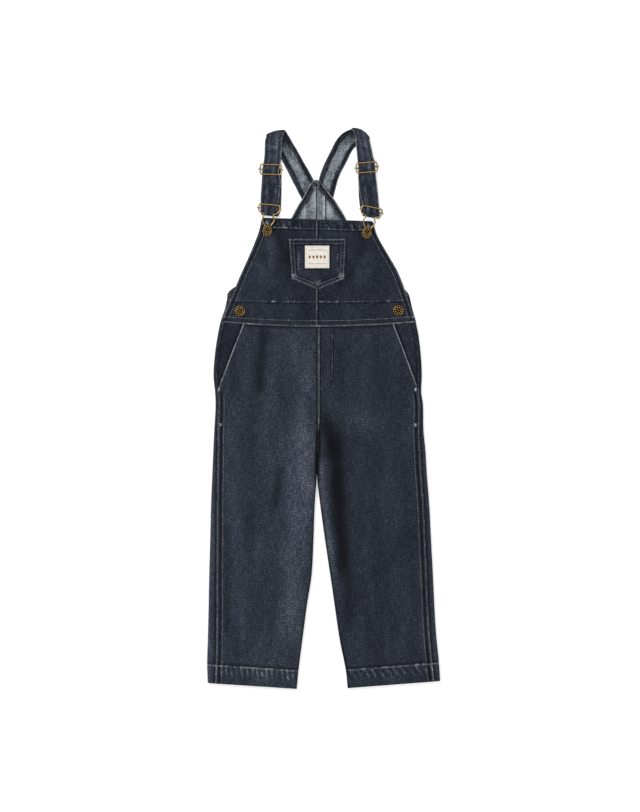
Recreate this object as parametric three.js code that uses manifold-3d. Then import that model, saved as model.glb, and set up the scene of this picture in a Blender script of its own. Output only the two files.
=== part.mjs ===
// Kids dungarees in dark denim, laid flat on their back with the front up.
// Millimetres, +Z up from the surface, +Y towards the shoulders, +X to the right of a viewer above.
// The origin is the middle of the garment's footprint. Left and right are the viewer's, not the wearer's.
import * as THREE from 'three';
import Module from 'manifold-3d';

const wasm = await Module();
wasm.setup();

// Driving dimensions
const CLOTH = 1.2;            // one layer of denim with its seam bulk
const HEM_CLOTH = 2.4;        // a turned hem, two layers
const TRIM_CLOTH = 1.0;       // edge band, fly and label
const STRAP_CLOTH = 2.0;      // strap with its edges turned in
const GAP = 0.3;              // between pieces that are sewn or lie together
const LEG_HEIGHT = 5.8;       // outside height of a leg or the hips, lying flat
const FOLD_RADIUS = LEG_HEIGHT / 2;
const HIP_HEIGHT = 4.1;       // outside height of a hip panel under the front leg
const HIP_RISE = 0.7;         // how much higher it lies where it shows
const FADE_WIDTH = 16;        // creases die out this far from a folded edge
const HEM_DEPTH = 27;         // depth of the leg hems
const BIB_HEM_DEPTH = 13;     // depth of the hem along the bib's top
const LEG_SEAM_X = -8;        // centre front seam of the hips
const BIB_SEAM_X = -9.7;      // centre front seam of the bib
const BACK_SEAM_X = -9;       // centre back seam
const RISE_END_Y = -30;       // lower end of the centre front seam
const WAIST_Y = 119;          // waist seam at the centre
const WAIST_LIFT = 6.2;       // how much higher the waist seam is at the sides
const WAIST_HALF = 141;       // half the waist's width
const BACK_LIFT = 2.3;        // the back's point lies over the ends of the straps
const POCKET_END_Y = 27;      // lower end of the slanted pocket openings
const POCKET_UNDERLAP = 15;   // how far a hip panel runs on under the front leg
const HEM_SHIFT_END_Y = -250; // the hem's slope has died out at this height

// One row per section of the legs, hem first. outer and inner are the folded edges,
// seam is how far inside the outer edge the side seam lies on the front.
const LEG_ROWS = {
  left: [
    { y: -402, outer: -168.6, inner: -39.4, seam: 10.6 },
    { y: -374, outer: -169.4, inner: -36.8, seam: 12.4 },
    { y: -330, outer: -168.2, inner: -31.0, seam: 12.0 },
    { y: -285, outer: -167.2, inner: -24.8, seam: 11.2 },
    { y: -241, outer: -166.4, inner: -17.9, seam: 10.4 },
    { y: -190, outer: -165.0, inner: -15.2, seam: 9.4 },
    { y: -140, outer: -163.8, inner: -13.4, seam: 8.2 },
    { y: -96, outer: -162.0, inner: -12.2, seam: 7.0 },
    { y: -60, outer: -160.4, inner: -10.6, seam: 5.9 },
    { y: -30, outer: -159.0, inner: -9.0, seam: 4.6 },
    { y: 5, outer: -157.2, inner: -8.2, seam: 3.6 },
    { y: 24, outer: -158.0, inner: -8.2, seam: 3.6 },
    { y: 48, outer: -160.2, inner: -8.2, seam: 3.6 },
    { y: 75, outer: -158.2, inner: -8.2, seam: 3.6 },
    { y: 100, outer: -154.2, inner: -8.2, seam: 3.6 },
    { y: 119, outer: -150.3, inner: -8.2, seam: 3.6 },
  ],
  right: [
    { y: -400, outer: 168.4, inner: 34.2, seam: 8.4 },
    { y: -374, outer: 166.8, inner: 31.6, seam: 9.6 },
    { y: -330, outer: 162.6, inner: 22.6, seam: 9.2 },
    { y: -285, outer: 160.0, inner: 15.5, seam: 8.9 },
    { y: -241, outer: 158.0, inner: 9.0, seam: 8.6 },
    { y: -190, outer: 155.2, inner: 1.4, seam: 8.2 },
    { y: -140, outer: 152.7, inner: -5.4, seam: 7.8 },
    { y: -96, outer: 149.2, inner: -9.6, seam: 7.5 },
    { y: -60, outer: 147.0, inner: -8.6, seam: 7.2 },
    { y: -30, outer: 144.2, inner: -7.8, seam: 5.4 },
    { y: 5, outer: 143.6, inner: -7.8, seam: 4.0 },
    { y: 24, outer: 141.0, inner: -7.8, seam: 3.6 },
    { y: 48, outer: 141.8, inner: -7.8, seam: 3.6 },
    { y: 75, outer: 140.2, inner: -7.8, seam: 3.6 },
    { y: 100, outer: 137.0, inner: -7.8, seam: 3.6 },
    { y: 119, outer: 133.2, inner: -7.8, seam: 3.6 },
  ],
};

// The hem's edge falls by this much for each millimetre across, from its middle.
const HEM_SLOPE = { left: -0.066, right: 0.076 };

// Where the slanted pocket openings cross the waist seam and the side seam.
const POCKET_LINE = {
  left: { waist: -117.6, side: -154.2 },
  right: { waist: 101.4, side: 137.0 },
};

// One row per section of the bib, waist first: the free side edges.
const BIB_ROWS = [
  { y: 122, left: -147.6, right: 131.6 },
  { y: 146, left: -139.9, right: 125.4 },
  { y: 170, left: -130.5, right: 117.6 },
  { y: 198, left: -119.0, right: 107.0 },
  { y: 224, left: -107.0, right: 92.6 },
  { y: 250, left: -96.0, right: 78.6 },
  { y: 264, left: -92.0, right: 73.4 },
  { y: 271, left: -90.6, right: 72.0 },
  { y: 274, left: -88.4, right: 69.8 },
];
const BIB_TOP_Y = 274;
const BIB_TOP_SLOPE = -0.031;
const WAIST_RISE_END_Y = 205; // above this the bib lies no longer as high as the hips

// One row per section of the upper back, waist first. Above the corner it narrows to a point.
const BACK_ROWS = [
  { y: 119, left: -150.0, right: 133.4 },
  { y: 136, left: -145.6, right: 129.6 },
  { y: 158, left: -140.8, right: 125.0 },
  { y: 169, left: -138.4, right: 120.6 },
  { y: 182, left: -121.0, right: 104.0 },
  { y: 200, left: -101.0, right: 82.0 },
  { y: 225, left: -80.0, right: 58.0 },
  { y: 250, left: -62.0, right: 40.0 },
  { y: 276, left: -47.4, right: 31.4 },
  { y: 292, left: -39.0, right: 21.8 },
  { y: 304, left: -31.6, right: 14.0 },
  { y: 316, left: -24.8, right: 4.6 },
  { y: 326, left: -19.4, right: -3.2 },
  { y: 331, left: -15.0, right: -7.4 },
];
const BACK_RISE = { low: 276, high: 291 };   // where the point is lifted over the straps' ends
const SEAM_SHIFT_END_Y = 150;                // above this the rows don't follow the waist seam
const EDGE_BAND_WIDTH = 8;
const EDGE_BAND_START = 182;
const EDGE_BAND_END = 322;

// Creases of the cloth: a soft ridge (lift above 0) or trough along a line, fading at its ends.
const CREASES = [
  { x0: -87, y0: 117, x1: -94, y1: 20, width: 7, lift: -1.0 },
  { x0: -46, y0: 96, x1: -22, y1: 30, width: 14, lift: 0.8 },
  { x0: -27, y0: -20, x1: -31, y1: -200, width: 12, lift: 1.2 },
  { x0: -61, y0: -86, x1: -74, y1: -145, width: 7, lift: -0.6 },
  { x0: -93, y0: -186, x1: -97, y1: -252, width: 6, lift: 0.5 },
  { x0: -117, y0: -262, x1: -119, y1: -335, width: 7, lift: 0.5 },
  { x0: 2, y0: -14, x1: 15, y1: -69, width: 8, lift: -1.2 },
  { x0: 15, y0: -69, x1: 30, y1: -255, width: 9, lift: -1.4 },
  { x0: 64, y0: 110, x1: 47, y1: 78, width: 6, lift: 0.6 },
  { x0: 24, y0: 92, x1: 19, y1: 32, width: 6, lift: -0.5 },
  { x0: 14, y0: 2, x1: 76, y1: -24, width: 12, lift: 0.7 },
  { x0: 124, y0: -178, x1: 82, y1: -238, width: 10, lift: -0.6 },
  { x0: -71, y0: 262, x1: -52, y1: 210, width: 6, lift: -0.6 },
  { x0: -77, y0: 250, x1: -75, y1: 190, width: 7, lift: 0.6 },
  { x0: 61, y0: 244, x1: 38, y1: 190, width: 7, lift: -0.6 },
  { x0: 68, y0: 225, x1: 44, y1: 200, width: 7, lift: 0.5 },
];

// The bib's underside comes down beside the back within this distance of the back's edge.
const BIB_SUPPORT = { near: 6, far: 19 };
// Creases of the bib die out before its hem, between these heights.
const BIB_CREASE_END = { low: 236, high: 258 };

// Bib pocket: five corners, a point at the middle of its lower edge.
const POCKET = {
  topLeft: -50.9,
  topRight: 31.3,
  topY: 245.6,
  lowLeft: -46.4,
  lowRight: 29.0,
  lowY: 188.2,
  pointY: 172.1,
};
const LABEL = { left: -27.6, right: 7.8, top: 235.8, bottom: 203.1 };

// Sewn fly shape on the right front: straight edge, then a quarter round to the centre seam.
const FLY = { left: -4.6, right: 14.1, top: 116.5, turn: 55, bottom: 25 };

// Straps, one row per section from the end under the back's point to the free end behind the slider.
// a and b are the two edges, z is the middle of the cloth.
const STRAP_ROWS = {
  left: [
    { ax: -24.2, ay: 293.0, bx: -12.0, by: 299.0, z: 1.0 },
    { ax: -30.4, ay: 301.0, bx: -12.0, by: 311.0, z: 1.0 },
    { ax: -35.5, ay: 309.6, bx: -12.6, by: 325.5, z: 1.0 },
    { ax: -43.5, ay: 325.0, bx: -18.4, by: 338.0, z: 1.0 },
    { ax: -51.5, ay: 341.0, bx: -28.0, by: 355.0, z: 1.0 },
    { ax: -60.0, ay: 357.6, bx: -38.0, by: 373.0, z: 1.0 },
    { ax: -69.0, ay: 375.0, bx: -47.2, by: 388.6, z: 1.0 },
    { ax: -77.5, ay: 389.0, bx: -53.0, by: 398.4, z: 1.0 },
    { ax: -83.6, ay: 394.8, bx: -55.4, by: 401.6, z: 1.1, turn: 3.5 },
    { ax: -85.6, ay: 388.0, bx: -59.6, by: 396.0, z: 3.5 },
    { ax: -86.0, ay: 378.0, bx: -60.6, by: 381.0, z: 3.4 },
    { ax: -86.4, ay: 366.0, bx: -61.4, by: 367.0, z: 3.5 },
    { ax: -87.8, ay: 355.6, bx: -63.0, by: 354.8, z: 3.9 },
    { ax: -89.4, ay: 346.6, bx: -65.0, by: 345.8, z: 5.2 },
    { ax: -89.8, ay: 338.6, bx: -64.4, by: 337.8, z: 4.1 },
    { ax: -90.2, ay: 330.0, bx: -62.6, by: 329.4, z: 3.6 },
    { ax: -91.4, ay: 314.0, bx: -64.0, by: 313.4, z: 3.5 },
    { ax: -92.0, ay: 299.4, bx: -66.4, by: 297.4, z: 3.8 },
    { ax: -91.8, ay: 290.6, bx: -67.0, by: 288.4, z: 5.2 },
    { ax: -91.6, ay: 284.8, bx: -66.2, by: 282.6, z: 3.9 },
    { ax: -91.2, ay: 282.4, bx: -65.4, by: 280.2, z: 3.5, turn: 1.1 },
    { ax: -90.2, ay: 290.0, bx: -62.6, by: 288.4, z: 1.0 },
    { ax: -89.6, ay: 312.0, bx: -61.6, by: 310.0, z: 1.0 },
    { ax: -89.2, ay: 336.0, bx: -61.4, by: 335.0, z: 1.0 },
    { ax: -89.0, ay: 348.0, bx: -62.4, by: 348.0, z: 1.0 },
  ],
  right: [
    { ax: -9.0, ay: 299.0, bx: 8.4, by: 293.6, z: 1.0 },
    { ax: -9.0, ay: 311.0, bx: 13.2, by: 305.0, z: 1.0 },
    { ax: -8.6, ay: 325.5, bx: 18.0, by: 323.0, z: 1.0 },
    { ax: -5.4, ay: 340.0, bx: 23.0, by: 338.6, z: 1.0 },
    { ax: 1.6, ay: 357.4, bx: 32.0, by: 356.0, z: 1.0 },
    { ax: 10.4, ay: 374.8, bx: 40.6, by: 373.4, z: 1.0 },
    { ax: 16.6, ay: 387.2, bx: 48.4, by: 381.6, z: 1.0 },
    { ax: 24.4, ay: 396.8, bx: 56.0, by: 385.4, z: 1.0 },
    { ax: 33.0, ay: 402.6, bx: 62.0, by: 387.6, z: 1.0 },
    { ax: 40.0, ay: 405.2, bx: 66.0, by: 389.4, z: 1.1, turn: 3.5 },
    { ax: 45.0, ay: 396.0, bx: 67.6, by: 383.0, z: 3.5 },
    { ax: 46.2, ay: 383.4, bx: 69.6, by: 373.4, z: 3.4 },
    { ax: 47.4, ay: 370.0, bx: 71.6, by: 364.4, z: 3.5 },
    { ax: 48.6, ay: 357.4, bx: 73.6, by: 358.0, z: 3.9 },
    { ax: 49.6, ay: 348.2, bx: 74.2, by: 350.2, z: 5.2 },
    { ax: 49.6, ay: 340.0, bx: 74.8, by: 341.8, z: 4.1 },
    { ax: 49.6, ay: 331.0, bx: 76.0, by: 332.0, z: 3.6 },
    { ax: 51.4, ay: 313.0, bx: 78.0, by: 314.0, z: 3.5 },
    { ax: 54.8, ay: 298.4, bx: 79.8, by: 293.0, z: 3.8 },
    { ax: 56.6, ay: 288.6, bx: 80.9, by: 283.2, z: 5.2 },
    { ax: 56.0, ay: 283.2, bx: 81.0, by: 278.8, z: 3.9 },
    { ax: 55.8, ay: 281.2, bx: 80.6, by: 276.8, z: 3.5, turn: 1.1 },
    { ax: 52.6, ay: 290.0, bx: 79.0, by: 285.0, z: 1.0 },
    { ax: 50.4, ay: 306.0, bx: 77.0, by: 304.0, z: 1.0 },
    { ax: 49.8, ay: 326.0, bx: 75.6, by: 326.0, z: 1.0 },
    { ax: 49.6, ay: 344.0, bx: 75.0, by: 346.0, z: 1.0 },
  ],
};
const STRAP_TURN_STEPS = 5;

// Brass wire hardware
const WIRE = { frame: 0.95, bar: 0.8, sides: 8 };
const SLIDER = { halfWidth: 15.2, halfHeight: 7.0, corner: 3.0, frameZ: 6.4, barZ: 3.2, nub: 17.4 };
const SLIDER_PLACE = {
  left: { x: -77.2, y: 346.2, turn: -2 },
  right: { x: 61.9, y: 349.2, turn: 4.6 },
};
// One side of the clasp's wire, from the top bar down to the catch plate, in the clasp's own frame:
// x from its middle, y from its button.
const CLASP_ROWS = [
  { x: 12.0, y: 34.6, z: 6.7 },
  { x: 14.2, y: 33.2, z: 6.7 },
  { x: 15.4, y: 29.6, z: 6.7 },
  { x: 14.4, y: 25.4, z: 6.7 },
  { x: 11.4, y: 22.6, z: 6.7 },
  { x: 7.6, y: 21.2, z: 6.5 },
  { x: 6.6, y: 18.6, z: 6.1 },
  { x: 8.4, y: 14.6, z: 5.4 },
  { x: 7.8, y: 10.2, z: 5.0 },
  { x: 5.0, y: 5.6, z: 4.4 },
  { x: 3.4, y: 0.6, z: 3.5 },
];
const CLASP = { halfWidth: 15.2, frameZ: 6.7, barY: 29.0, barZ: 3.2, nub: 17.2 };
// The catch plate: a scalloped disc with the button's hole above its middle.
const PLATE = { y: -4.2, z: 3.0, thick: 1.3, radius: 6.6, lobes: 8, depth: 0.7, holeY: -1.2 };
const CLASP_PLACE = {
  left: { x: -81.9, y: 260.6, turn: -5 },
  right: { x: 62.8, y: 257.4, turn: -12 },
};

// Buttons, turned from brass: radius and height along the profile.
const BIB_BUTTON = { post: 1.9, head: 6.7, dome: 1.5, rim: 0.9, headZ: 5.0 };
const SIDE_BUTTON = { post: 3.0, head: 7.7, dome: 1.3, rim: 0.9, standOff: 0.8 };
const POST_PLAY = 0.5;        // between a bib button's post and the catch plate's hole
const SIDE_BUTTON_PLACE = { left: { x: -121.8, y: 141.4 }, right: { x: 107.7, y: 142.0 } };

// Colours and finish
const DENIM_DARK = 0x2f343f;
const DENIM_FACE = 0x343a45;
const DENIM_BACK = 0x7c8186;
const BRASS = 0x8a6c3a;
const LABEL_CREAM = 0xe6dfce;

/** Values between the rows of a table, on a smooth curve through one of its columns. */
function along(rows, column, y) {
  if (y <= rows[0].y) {
    return rows[0][column];
  }
  const last = rows.length - 1;
  if (y >= rows[last].y) {
    return rows[last][column];
  }
  let k = 0;
  while (rows[k + 1].y < y) {
    k += 1;
  }
  const slopeAt = (i) => {
    const low = rows[Math.max(i - 1, 0)];
    const high = rows[Math.min(i + 1, last)];
    return (high[column] - low[column]) / (high.y - low.y);
  };
  const span = rows[k + 1].y - rows[k].y;
  const t = (y - rows[k].y) / span;
  const t2 = t * t;
  const t3 = t2 * t;
  return (2 * t3 - 3 * t2 + 1) * rows[k][column] + (t3 - 2 * t2 + t) * span * slopeAt(k)
    + (3 * t2 - 2 * t3) * rows[k + 1][column] + (t3 - t2) * span * slopeAt(k + 1);
}

/** 0 below low, 1 above high, smooth between. */
function ramp(value, low, high) {
  return THREE.MathUtils.smoothstep(value, low, high);
}

/** Height that the creases add to a flat panel at a point. */
function creaseLift(x, y) {
  let lift = 0;
  for (const crease of CREASES) {
    const dx = crease.x1 - crease.x0;
    const dy = crease.y1 - crease.y0;
    const length = Math.hypot(dx, dy);
    const t = ((x - crease.x0) * dx + (y - crease.y0) * dy) / (length * length);
    const across = ((x - crease.x0) * dy - (y - crease.y0) * dx) / length;
    const past = Math.max(0, Math.abs(t - 0.5) - 0.35) * length;
    const reach = crease.width * 1.6;
    lift += crease.lift * Math.exp(-((across / crease.width) ** 2)) * Math.exp(-((past / reach) ** 2));
  }
  return lift;
}

/** The waist seam's height on the page, a shallow curve that is higher at the sides. */
function waistY(x) {
  return WAIST_Y + WAIST_LIFT * ((x - LEG_SEAM_X) / WAIST_HALF) ** 2;
}

/** The bib's top edge. */
function bibTopY(x) {
  return BIB_TOP_Y + BIB_TOP_SLOPE * (x - BIB_SEAM_X);
}

/**
 * A closed wall between two grids of points.
 * point(i, j) gives the outer and inner point of row i and column j.
 */
function wall(rowCount, columnCount, point) {
  const positions = [];
  const layers = { outer: 0, inner: rowCount * columnCount };
  const points = [];
  for (let i = 0; i < rowCount; i += 1) {
    for (let j = 0; j < columnCount; j += 1) {
      points.push(point(i, j));
    }
  }
  points.forEach((pair) => positions.push(...pair.outer));
  points.forEach((pair) => positions.push(...pair.inner));
  const at = (layer, i, j) => layers[layer] + i * columnCount + j;
  const indices = [];
  const quad = (a, b, c, d) => indices.push(a, b, c, a, c, d);
  const lastRow = rowCount - 1;
  const lastColumn = columnCount - 1;
  for (let i = 0; i < lastRow; i += 1) {
    for (let j = 0; j < lastColumn; j += 1) {
      quad(at('outer', i, j), at('outer', i, j + 1), at('outer', i + 1, j + 1), at('outer', i + 1, j));
      quad(at('inner', i, j), at('inner', i + 1, j), at('inner', i + 1, j + 1), at('inner', i, j + 1));
    }
    quad(at('outer', i, 0), at('outer', i + 1, 0), at('inner', i + 1, 0), at('inner', i, 0));
    quad(at('outer', i + 1, lastColumn), at('outer', i, lastColumn),
      at('inner', i, lastColumn), at('inner', i + 1, lastColumn));
  }
  for (let j = 0; j < lastColumn; j += 1) {
    quad(at('outer', 0, j + 1), at('outer', 0, j), at('inner', 0, j), at('inner', 0, j + 1));
    quad(at('outer', lastRow, j), at('outer', lastRow, j + 1),
      at('inner', lastRow, j + 1), at('inner', lastRow, j));
  }
  const geometry = new THREE.BufferGeometry();
  geometry.setAttribute('position', new THREE.Float32BufferAttribute(positions, 3));
  geometry.setIndex(facingOut(positions, indices));
  geometry.computeVertexNormals();
  return geometry;
}

/** The triangles in the order that makes the solid's volume positive. */
function facingOut(positions, indices) {
  const a = new THREE.Vector3();
  const b = new THREE.Vector3();
  const c = new THREE.Vector3();
  let volume = 0;
  for (let k = 0; k < indices.length; k += 3) {
    a.fromArray(positions, indices[k] * 3);
    b.fromArray(positions, indices[k + 1] * 3);
    c.fromArray(positions, indices[k + 2] * 3);
    volume += a.dot(b.cross(c));
  }
  if (volume > 0) {
    return indices;
  }
  const turned = [];
  for (let k = 0; k < indices.length; k += 3) {
    turned.push(indices[k], indices[k + 2], indices[k + 1]);
  }
  return turned;
}

const garment = new THREE.Group();
garment.name = 'kids_dungarees';

/** Adds one named piece. */
function piece(name, geometry, color, roughness = 0.95, metalness = 0) {
  const mesh = new THREE.Mesh(geometry, new THREE.MeshStandardMaterial({ color, roughness, metalness }));
  mesh.name = name;
  garment.add(mesh);
  return mesh;
}

// Legs and hips

// Heights of the legs' rows above the hem, scaled so that the last one lies at the waist.
const LEG_ROW_Y = [
  0, 14, 26, 28, 60, 100, 140, 180, 220, 260, 300, 328, 344, 356, 366, 374, 386, 404, 424, 430, 446, 470, 496, 521,
];
const inwardOf = { left: 1, right: -1 };

/** How far a leg's nominal row height is moved at x, so that hem and waist follow their own lines. */
function legRowY(side, y, x) {
  const rows = LEG_ROWS[side];
  const middle = (rows[0].outer + rows[0].inner) / 2;
  const hem = HEM_SLOPE[side] * (x - middle) * (1 - ramp(y, -380, HEM_SHIFT_END_Y));
  const waist = (waistY(x) - WAIST_Y) * ramp(y, 30, WAIST_Y);
  return y + hem + waist;
}

/** The cloth's thickness on a leg, doubled in the hem. */
function legCloth(side, y) {
  const hemTop = LEG_ROWS[side][0].y + HEM_DEPTH;
  return y < hemTop ? HEM_CLOTH : CLOTH;
}

/** Height of the outside of the front at a point of a leg or the hips. */
function frontTop(side, x, y) {
  const outer = along(LEG_ROWS[side], 'outer', y);
  const inner = along(LEG_ROWS[side], 'inner', y);
  const fromOuter = Math.abs(x - outer);
  const fromInner = y < RISE_END_Y ? Math.abs(inner - x) : FADE_WIDTH;
  const fade = ramp(Math.min(fromOuter, fromInner), 0, FADE_WIDTH);
  return LEG_HEIGHT + creaseLift(x, y) * fade * ramp(y, LEG_ROWS[side][0].y, -350);
}

/** How far round its inner fold the front panel goes, in radians. */
function curlAngle(y) {
  const sewn = THREE.MathUtils.degToRad(34);
  const folded = THREE.MathUtils.degToRad(172);
  return folded + (sewn - folded) * ramp(y, RISE_END_Y - 28, RISE_END_Y);
}

/** Where the front panel of a leg begins: at the side seam, or at the pocket's slanted edge. */
function frontStart(side, y) {
  const inward = inwardOf[side];
  const seam = along(LEG_ROWS[side], 'outer', y) + inward * along(LEG_ROWS[side], 'seam', y);
  const line = POCKET_LINE[side];
  const t = (y - POCKET_END_Y) / (WAIST_Y - POCKET_END_Y);
  if (t <= 0) {
    return seam + inward * GAP;
  }
  return line.side + (line.waist - line.side) * t;
}

/** The front of a leg, from the waist to the hem, turned under at its inner fold. */
function frontLeg(side) {
  const inward = inwardOf[side];
  const flatColumns = 11;
  const curlColumns = 4;
  const baseY = LEG_ROWS[side][0].y;
  const span = (WAIST_Y - baseY) / LEG_ROW_Y[LEG_ROW_Y.length - 1];
  return wall(LEG_ROW_Y.length, flatColumns + curlColumns, (i, j) => {
    const y = baseY + LEG_ROW_Y[i] * span;
    const cloth = legCloth(side, y);
    const curl = curlAngle(y);
    const start = frontStart(side, y);
    const edge = along(LEG_ROWS[side], 'inner', y);
    const flatEnd = edge - inward * FOLD_RADIUS * Math.sin(Math.min(curl, Math.PI / 2));
    if (j < flatColumns) {
      const x = start + (flatEnd - start) * (j / (flatColumns - 1));
      const pageY = legRowY(side, y, x);
      const top = frontTop(side, x, y);
      return { outer: [x, pageY, top], inner: [x, pageY, top - cloth] };
    }
    const angle = curl * ((j - flatColumns + 1) / curlColumns);
    const at = (radius) => {
      const x = flatEnd + inward * radius * Math.sin(angle);
      return [x, legRowY(side, y, x), FOLD_RADIUS + radius * Math.cos(angle)];
    };
    return { outer: at(FOLD_RADIUS), inner: at(FOLD_RADIUS - cloth) };
  });
}

/** Where the back panel ends on the underside: at the inner leg seam, or at the centre back seam. */
function backEnd(side, y) {
  const inward = inwardOf[side];
  const leg = along(LEG_ROWS[side], 'inner', y) - inward * (FOLD_RADIUS + 0.15);
  const centre = BACK_SEAM_X - inward * GAP / 2;
  return leg + (centre - leg) * ramp(y, RISE_END_Y - 6, RISE_END_Y + 4);
}

/** The back of a leg: flat on the surface, and turned up round the outer edge to the side seam. */
function backLeg(side) {
  const inward = inwardOf[side];
  const bottomColumns = 3;
  const arcColumns = 6;
  const baseY = LEG_ROWS[side][0].y;
  const span = (WAIST_Y - baseY) / LEG_ROW_Y[LEG_ROW_Y.length - 1];
  return wall(LEG_ROW_Y.length, bottomColumns + arcColumns + 1, (i, j) => {
    const y = baseY + LEG_ROW_Y[i] * span;
    const cloth = legCloth(side, y);
    const outer = along(LEG_ROWS[side], 'outer', y);
    const centre = outer + inward * FOLD_RADIUS;
    if (j < bottomColumns) {
      const x = backEnd(side, y) + (centre - backEnd(side, y)) * (j / bottomColumns);
      const pageY = legRowY(side, y, x);
      return { outer: [x, pageY, 0], inner: [x, pageY, cloth] };
    }
    if (j < bottomColumns + arcColumns) {
      const angle = Math.PI * ((j - bottomColumns) / (arcColumns - 1));
      const at = (radius) => {
        const x = centre - inward * radius * Math.sin(angle);
        return [x, legRowY(side, y, x), FOLD_RADIUS - radius * Math.cos(angle)];
      };
      return { outer: at(FOLD_RADIUS), inner: at(FOLD_RADIUS - cloth) };
    }
    const x = outer + inward * along(LEG_ROWS[side], 'seam', y);
    const pageY = legRowY(side, y, x);
    return { outer: [x, pageY, LEG_HEIGHT], inner: [x, pageY, LEG_HEIGHT - cloth] };
  });
}

/** The hip panel that shows beyond the slanted pocket opening and runs on under the front. */
function hipPanel(side) {
  const inward = inwardOf[side];
  const rows = 8;
  const columns = 6;
  const lowY = POCKET_END_Y + 3;
  return wall(rows, columns, (i, j) => {
    const y = lowY + (WAIST_Y - lowY) * (i / (rows - 1));
    const outer = along(LEG_ROWS[side], 'outer', y);
    const start = outer + inward * (along(LEG_ROWS[side], 'seam', y) + 2 * GAP);
    const edge = frontStart(side, y);
    const end = edge + inward * POCKET_UNDERLAP;
    const x = start + (end - start) * (j / (columns - 1));
    const visible = ramp((edge - x) * inward, 2, 9);
    const top = HIP_HEIGHT + HIP_RISE * visible + Math.min(0, creaseLift(x, y));
    const pageY = legRowY(side, y, x);
    return { outer: [x, pageY, top], inner: [x, pageY, top - CLOTH] };
  });
}

for (const side of ['left', 'right']) {
  piece(`front_leg_${side}`, frontLeg(side), DENIM_FACE);
  piece(`back_leg_${side}`, backLeg(side), DENIM_FACE);
  piece(`hip_panel_${side}`, hipPanel(side), DENIM_DARK);
}

// Upper back, seen from its inside through the neck

/** How far the upper back is lifted off the surface. */
function backLift(y) {
  return BACK_LIFT * ramp(y, BACK_RISE.low, BACK_RISE.high);
}

/** One half of the upper back. */
function backUpper(side) {
  const columns = 6;
  const rowHeights = BACK_ROWS.map((row) => row.y);
  return wall(rowHeights.length, columns, (i, j) => {
    const y = rowHeights[i];
    const seam = BACK_SEAM_X - inwardOf[side] * GAP / 2;
    const edge = BACK_ROWS[i][side];
    const x = seam + (edge - seam) * (j / (columns - 1));
    const waist = (waistY(x) - WAIST_Y + GAP) * (1 - ramp(y, WAIST_Y, SEAM_SHIFT_END_Y));
    const low = backLift(y);
    return { outer: [x, y + waist, low], inner: [x, y + waist, low + CLOTH] };
  });
}

/** The turned edge along the neck and arm curve, on the inside of the upper back. */
function edgeBand(side) {
  const inward = inwardOf[side];
  const rows = 11;
  return wall(rows, 2, (i, j) => {
    const y = EDGE_BAND_START + (EDGE_BAND_END - EDGE_BAND_START) * (i / (rows - 1));
    const edge = along(BACK_ROWS, side, y);
    const slope = (along(BACK_ROWS, side, y + 4) - along(BACK_ROWS, side, y - 4)) / 8;
    const across = EDGE_BAND_WIDTH * Math.hypot(1, slope);
    const room = Math.abs(edge - BACK_SEAM_X) - GAP;
    const x = edge + inward * (0.4 + j * (Math.min(across, room) - 0.4));
    const low = backLift(y) + CLOTH + GAP;
    return { outer: [x, y, low], inner: [x, y, low + TRIM_CLOTH] };
  });
}

for (const side of ['left', 'right']) {
  piece(`back_upper_${side}`, backUpper(side), DENIM_BACK);
  piece(`back_edge_band_${side}`, edgeBand(side), DENIM_DARK);
}

// Bib

/** Height of the bib's underside: over the back where that lies beneath it, near the surface beside it. */
function bibBottom(x, y) {
  const over = CLOTH + GAP + TRIM_CLOTH + 2 * GAP;
  const left = along(BACK_ROWS, 'left', y);
  const right = along(BACK_ROWS, 'right', y);
  const outside = Math.max(left - x, x - right);
  const support = 1 - ramp(outside, BIB_SUPPORT.near, BIB_SUPPORT.far);
  const waist = 1 - ramp(y, WAIST_Y + 4, WAIST_RISE_END_Y);
  return GAP + (over - GAP) * support + (LEG_HEIGHT - CLOTH - over) * waist * support;
}

/** The bib's cloth, doubled in the hem along its top. */
function bibCloth(x, y) {
  const seam = bibTopY(x) - BIB_HEM_DEPTH;
  return CLOTH + (HEM_CLOTH - CLOTH) * ramp(y, seam - 1, seam + 1);
}

/** Height of the bib's outside. */
function bibTop(x, y) {
  const fade = ramp(y, WAIST_Y, WAIST_Y + 20) * (1 - ramp(y, BIB_CREASE_END.low, BIB_CREASE_END.high));
  return bibBottom(x, y) + bibCloth(x, y) + Math.max(0, creaseLift(x, y)) * fade;
}

const BIB_ROW_Y = [119, 128, 140, 152, 164, 176, 188, 200, 212, 224, 236, 248, 259.5, 262, 270, 274];

/** One half of the bib, from the centre seam to its side edge. */
function bibHalf(side) {
  const inward = inwardOf[side];
  const columns = 10;
  return wall(BIB_ROW_Y.length, columns, (i, j) => {
    const y = BIB_ROW_Y[i];
    const seam = BIB_SEAM_X - inward * GAP / 2;
    const edge = along(BIB_ROWS, side, y);
    const x = seam + (edge - seam) * (j / (columns - 1));
    const low = (waistY(x) - WAIST_Y + GAP) * (1 - ramp(y, WAIST_Y, SEAM_SHIFT_END_Y));
    const high = (bibTopY(x) - BIB_TOP_Y) * ramp(y, 200, BIB_TOP_Y);
    const pageY = y + low + high;
    const top = bibTop(x, pageY);
    return { outer: [x, pageY, top], inner: [x, pageY, top - bibCloth(x, pageY)] };
  });
}

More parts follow.
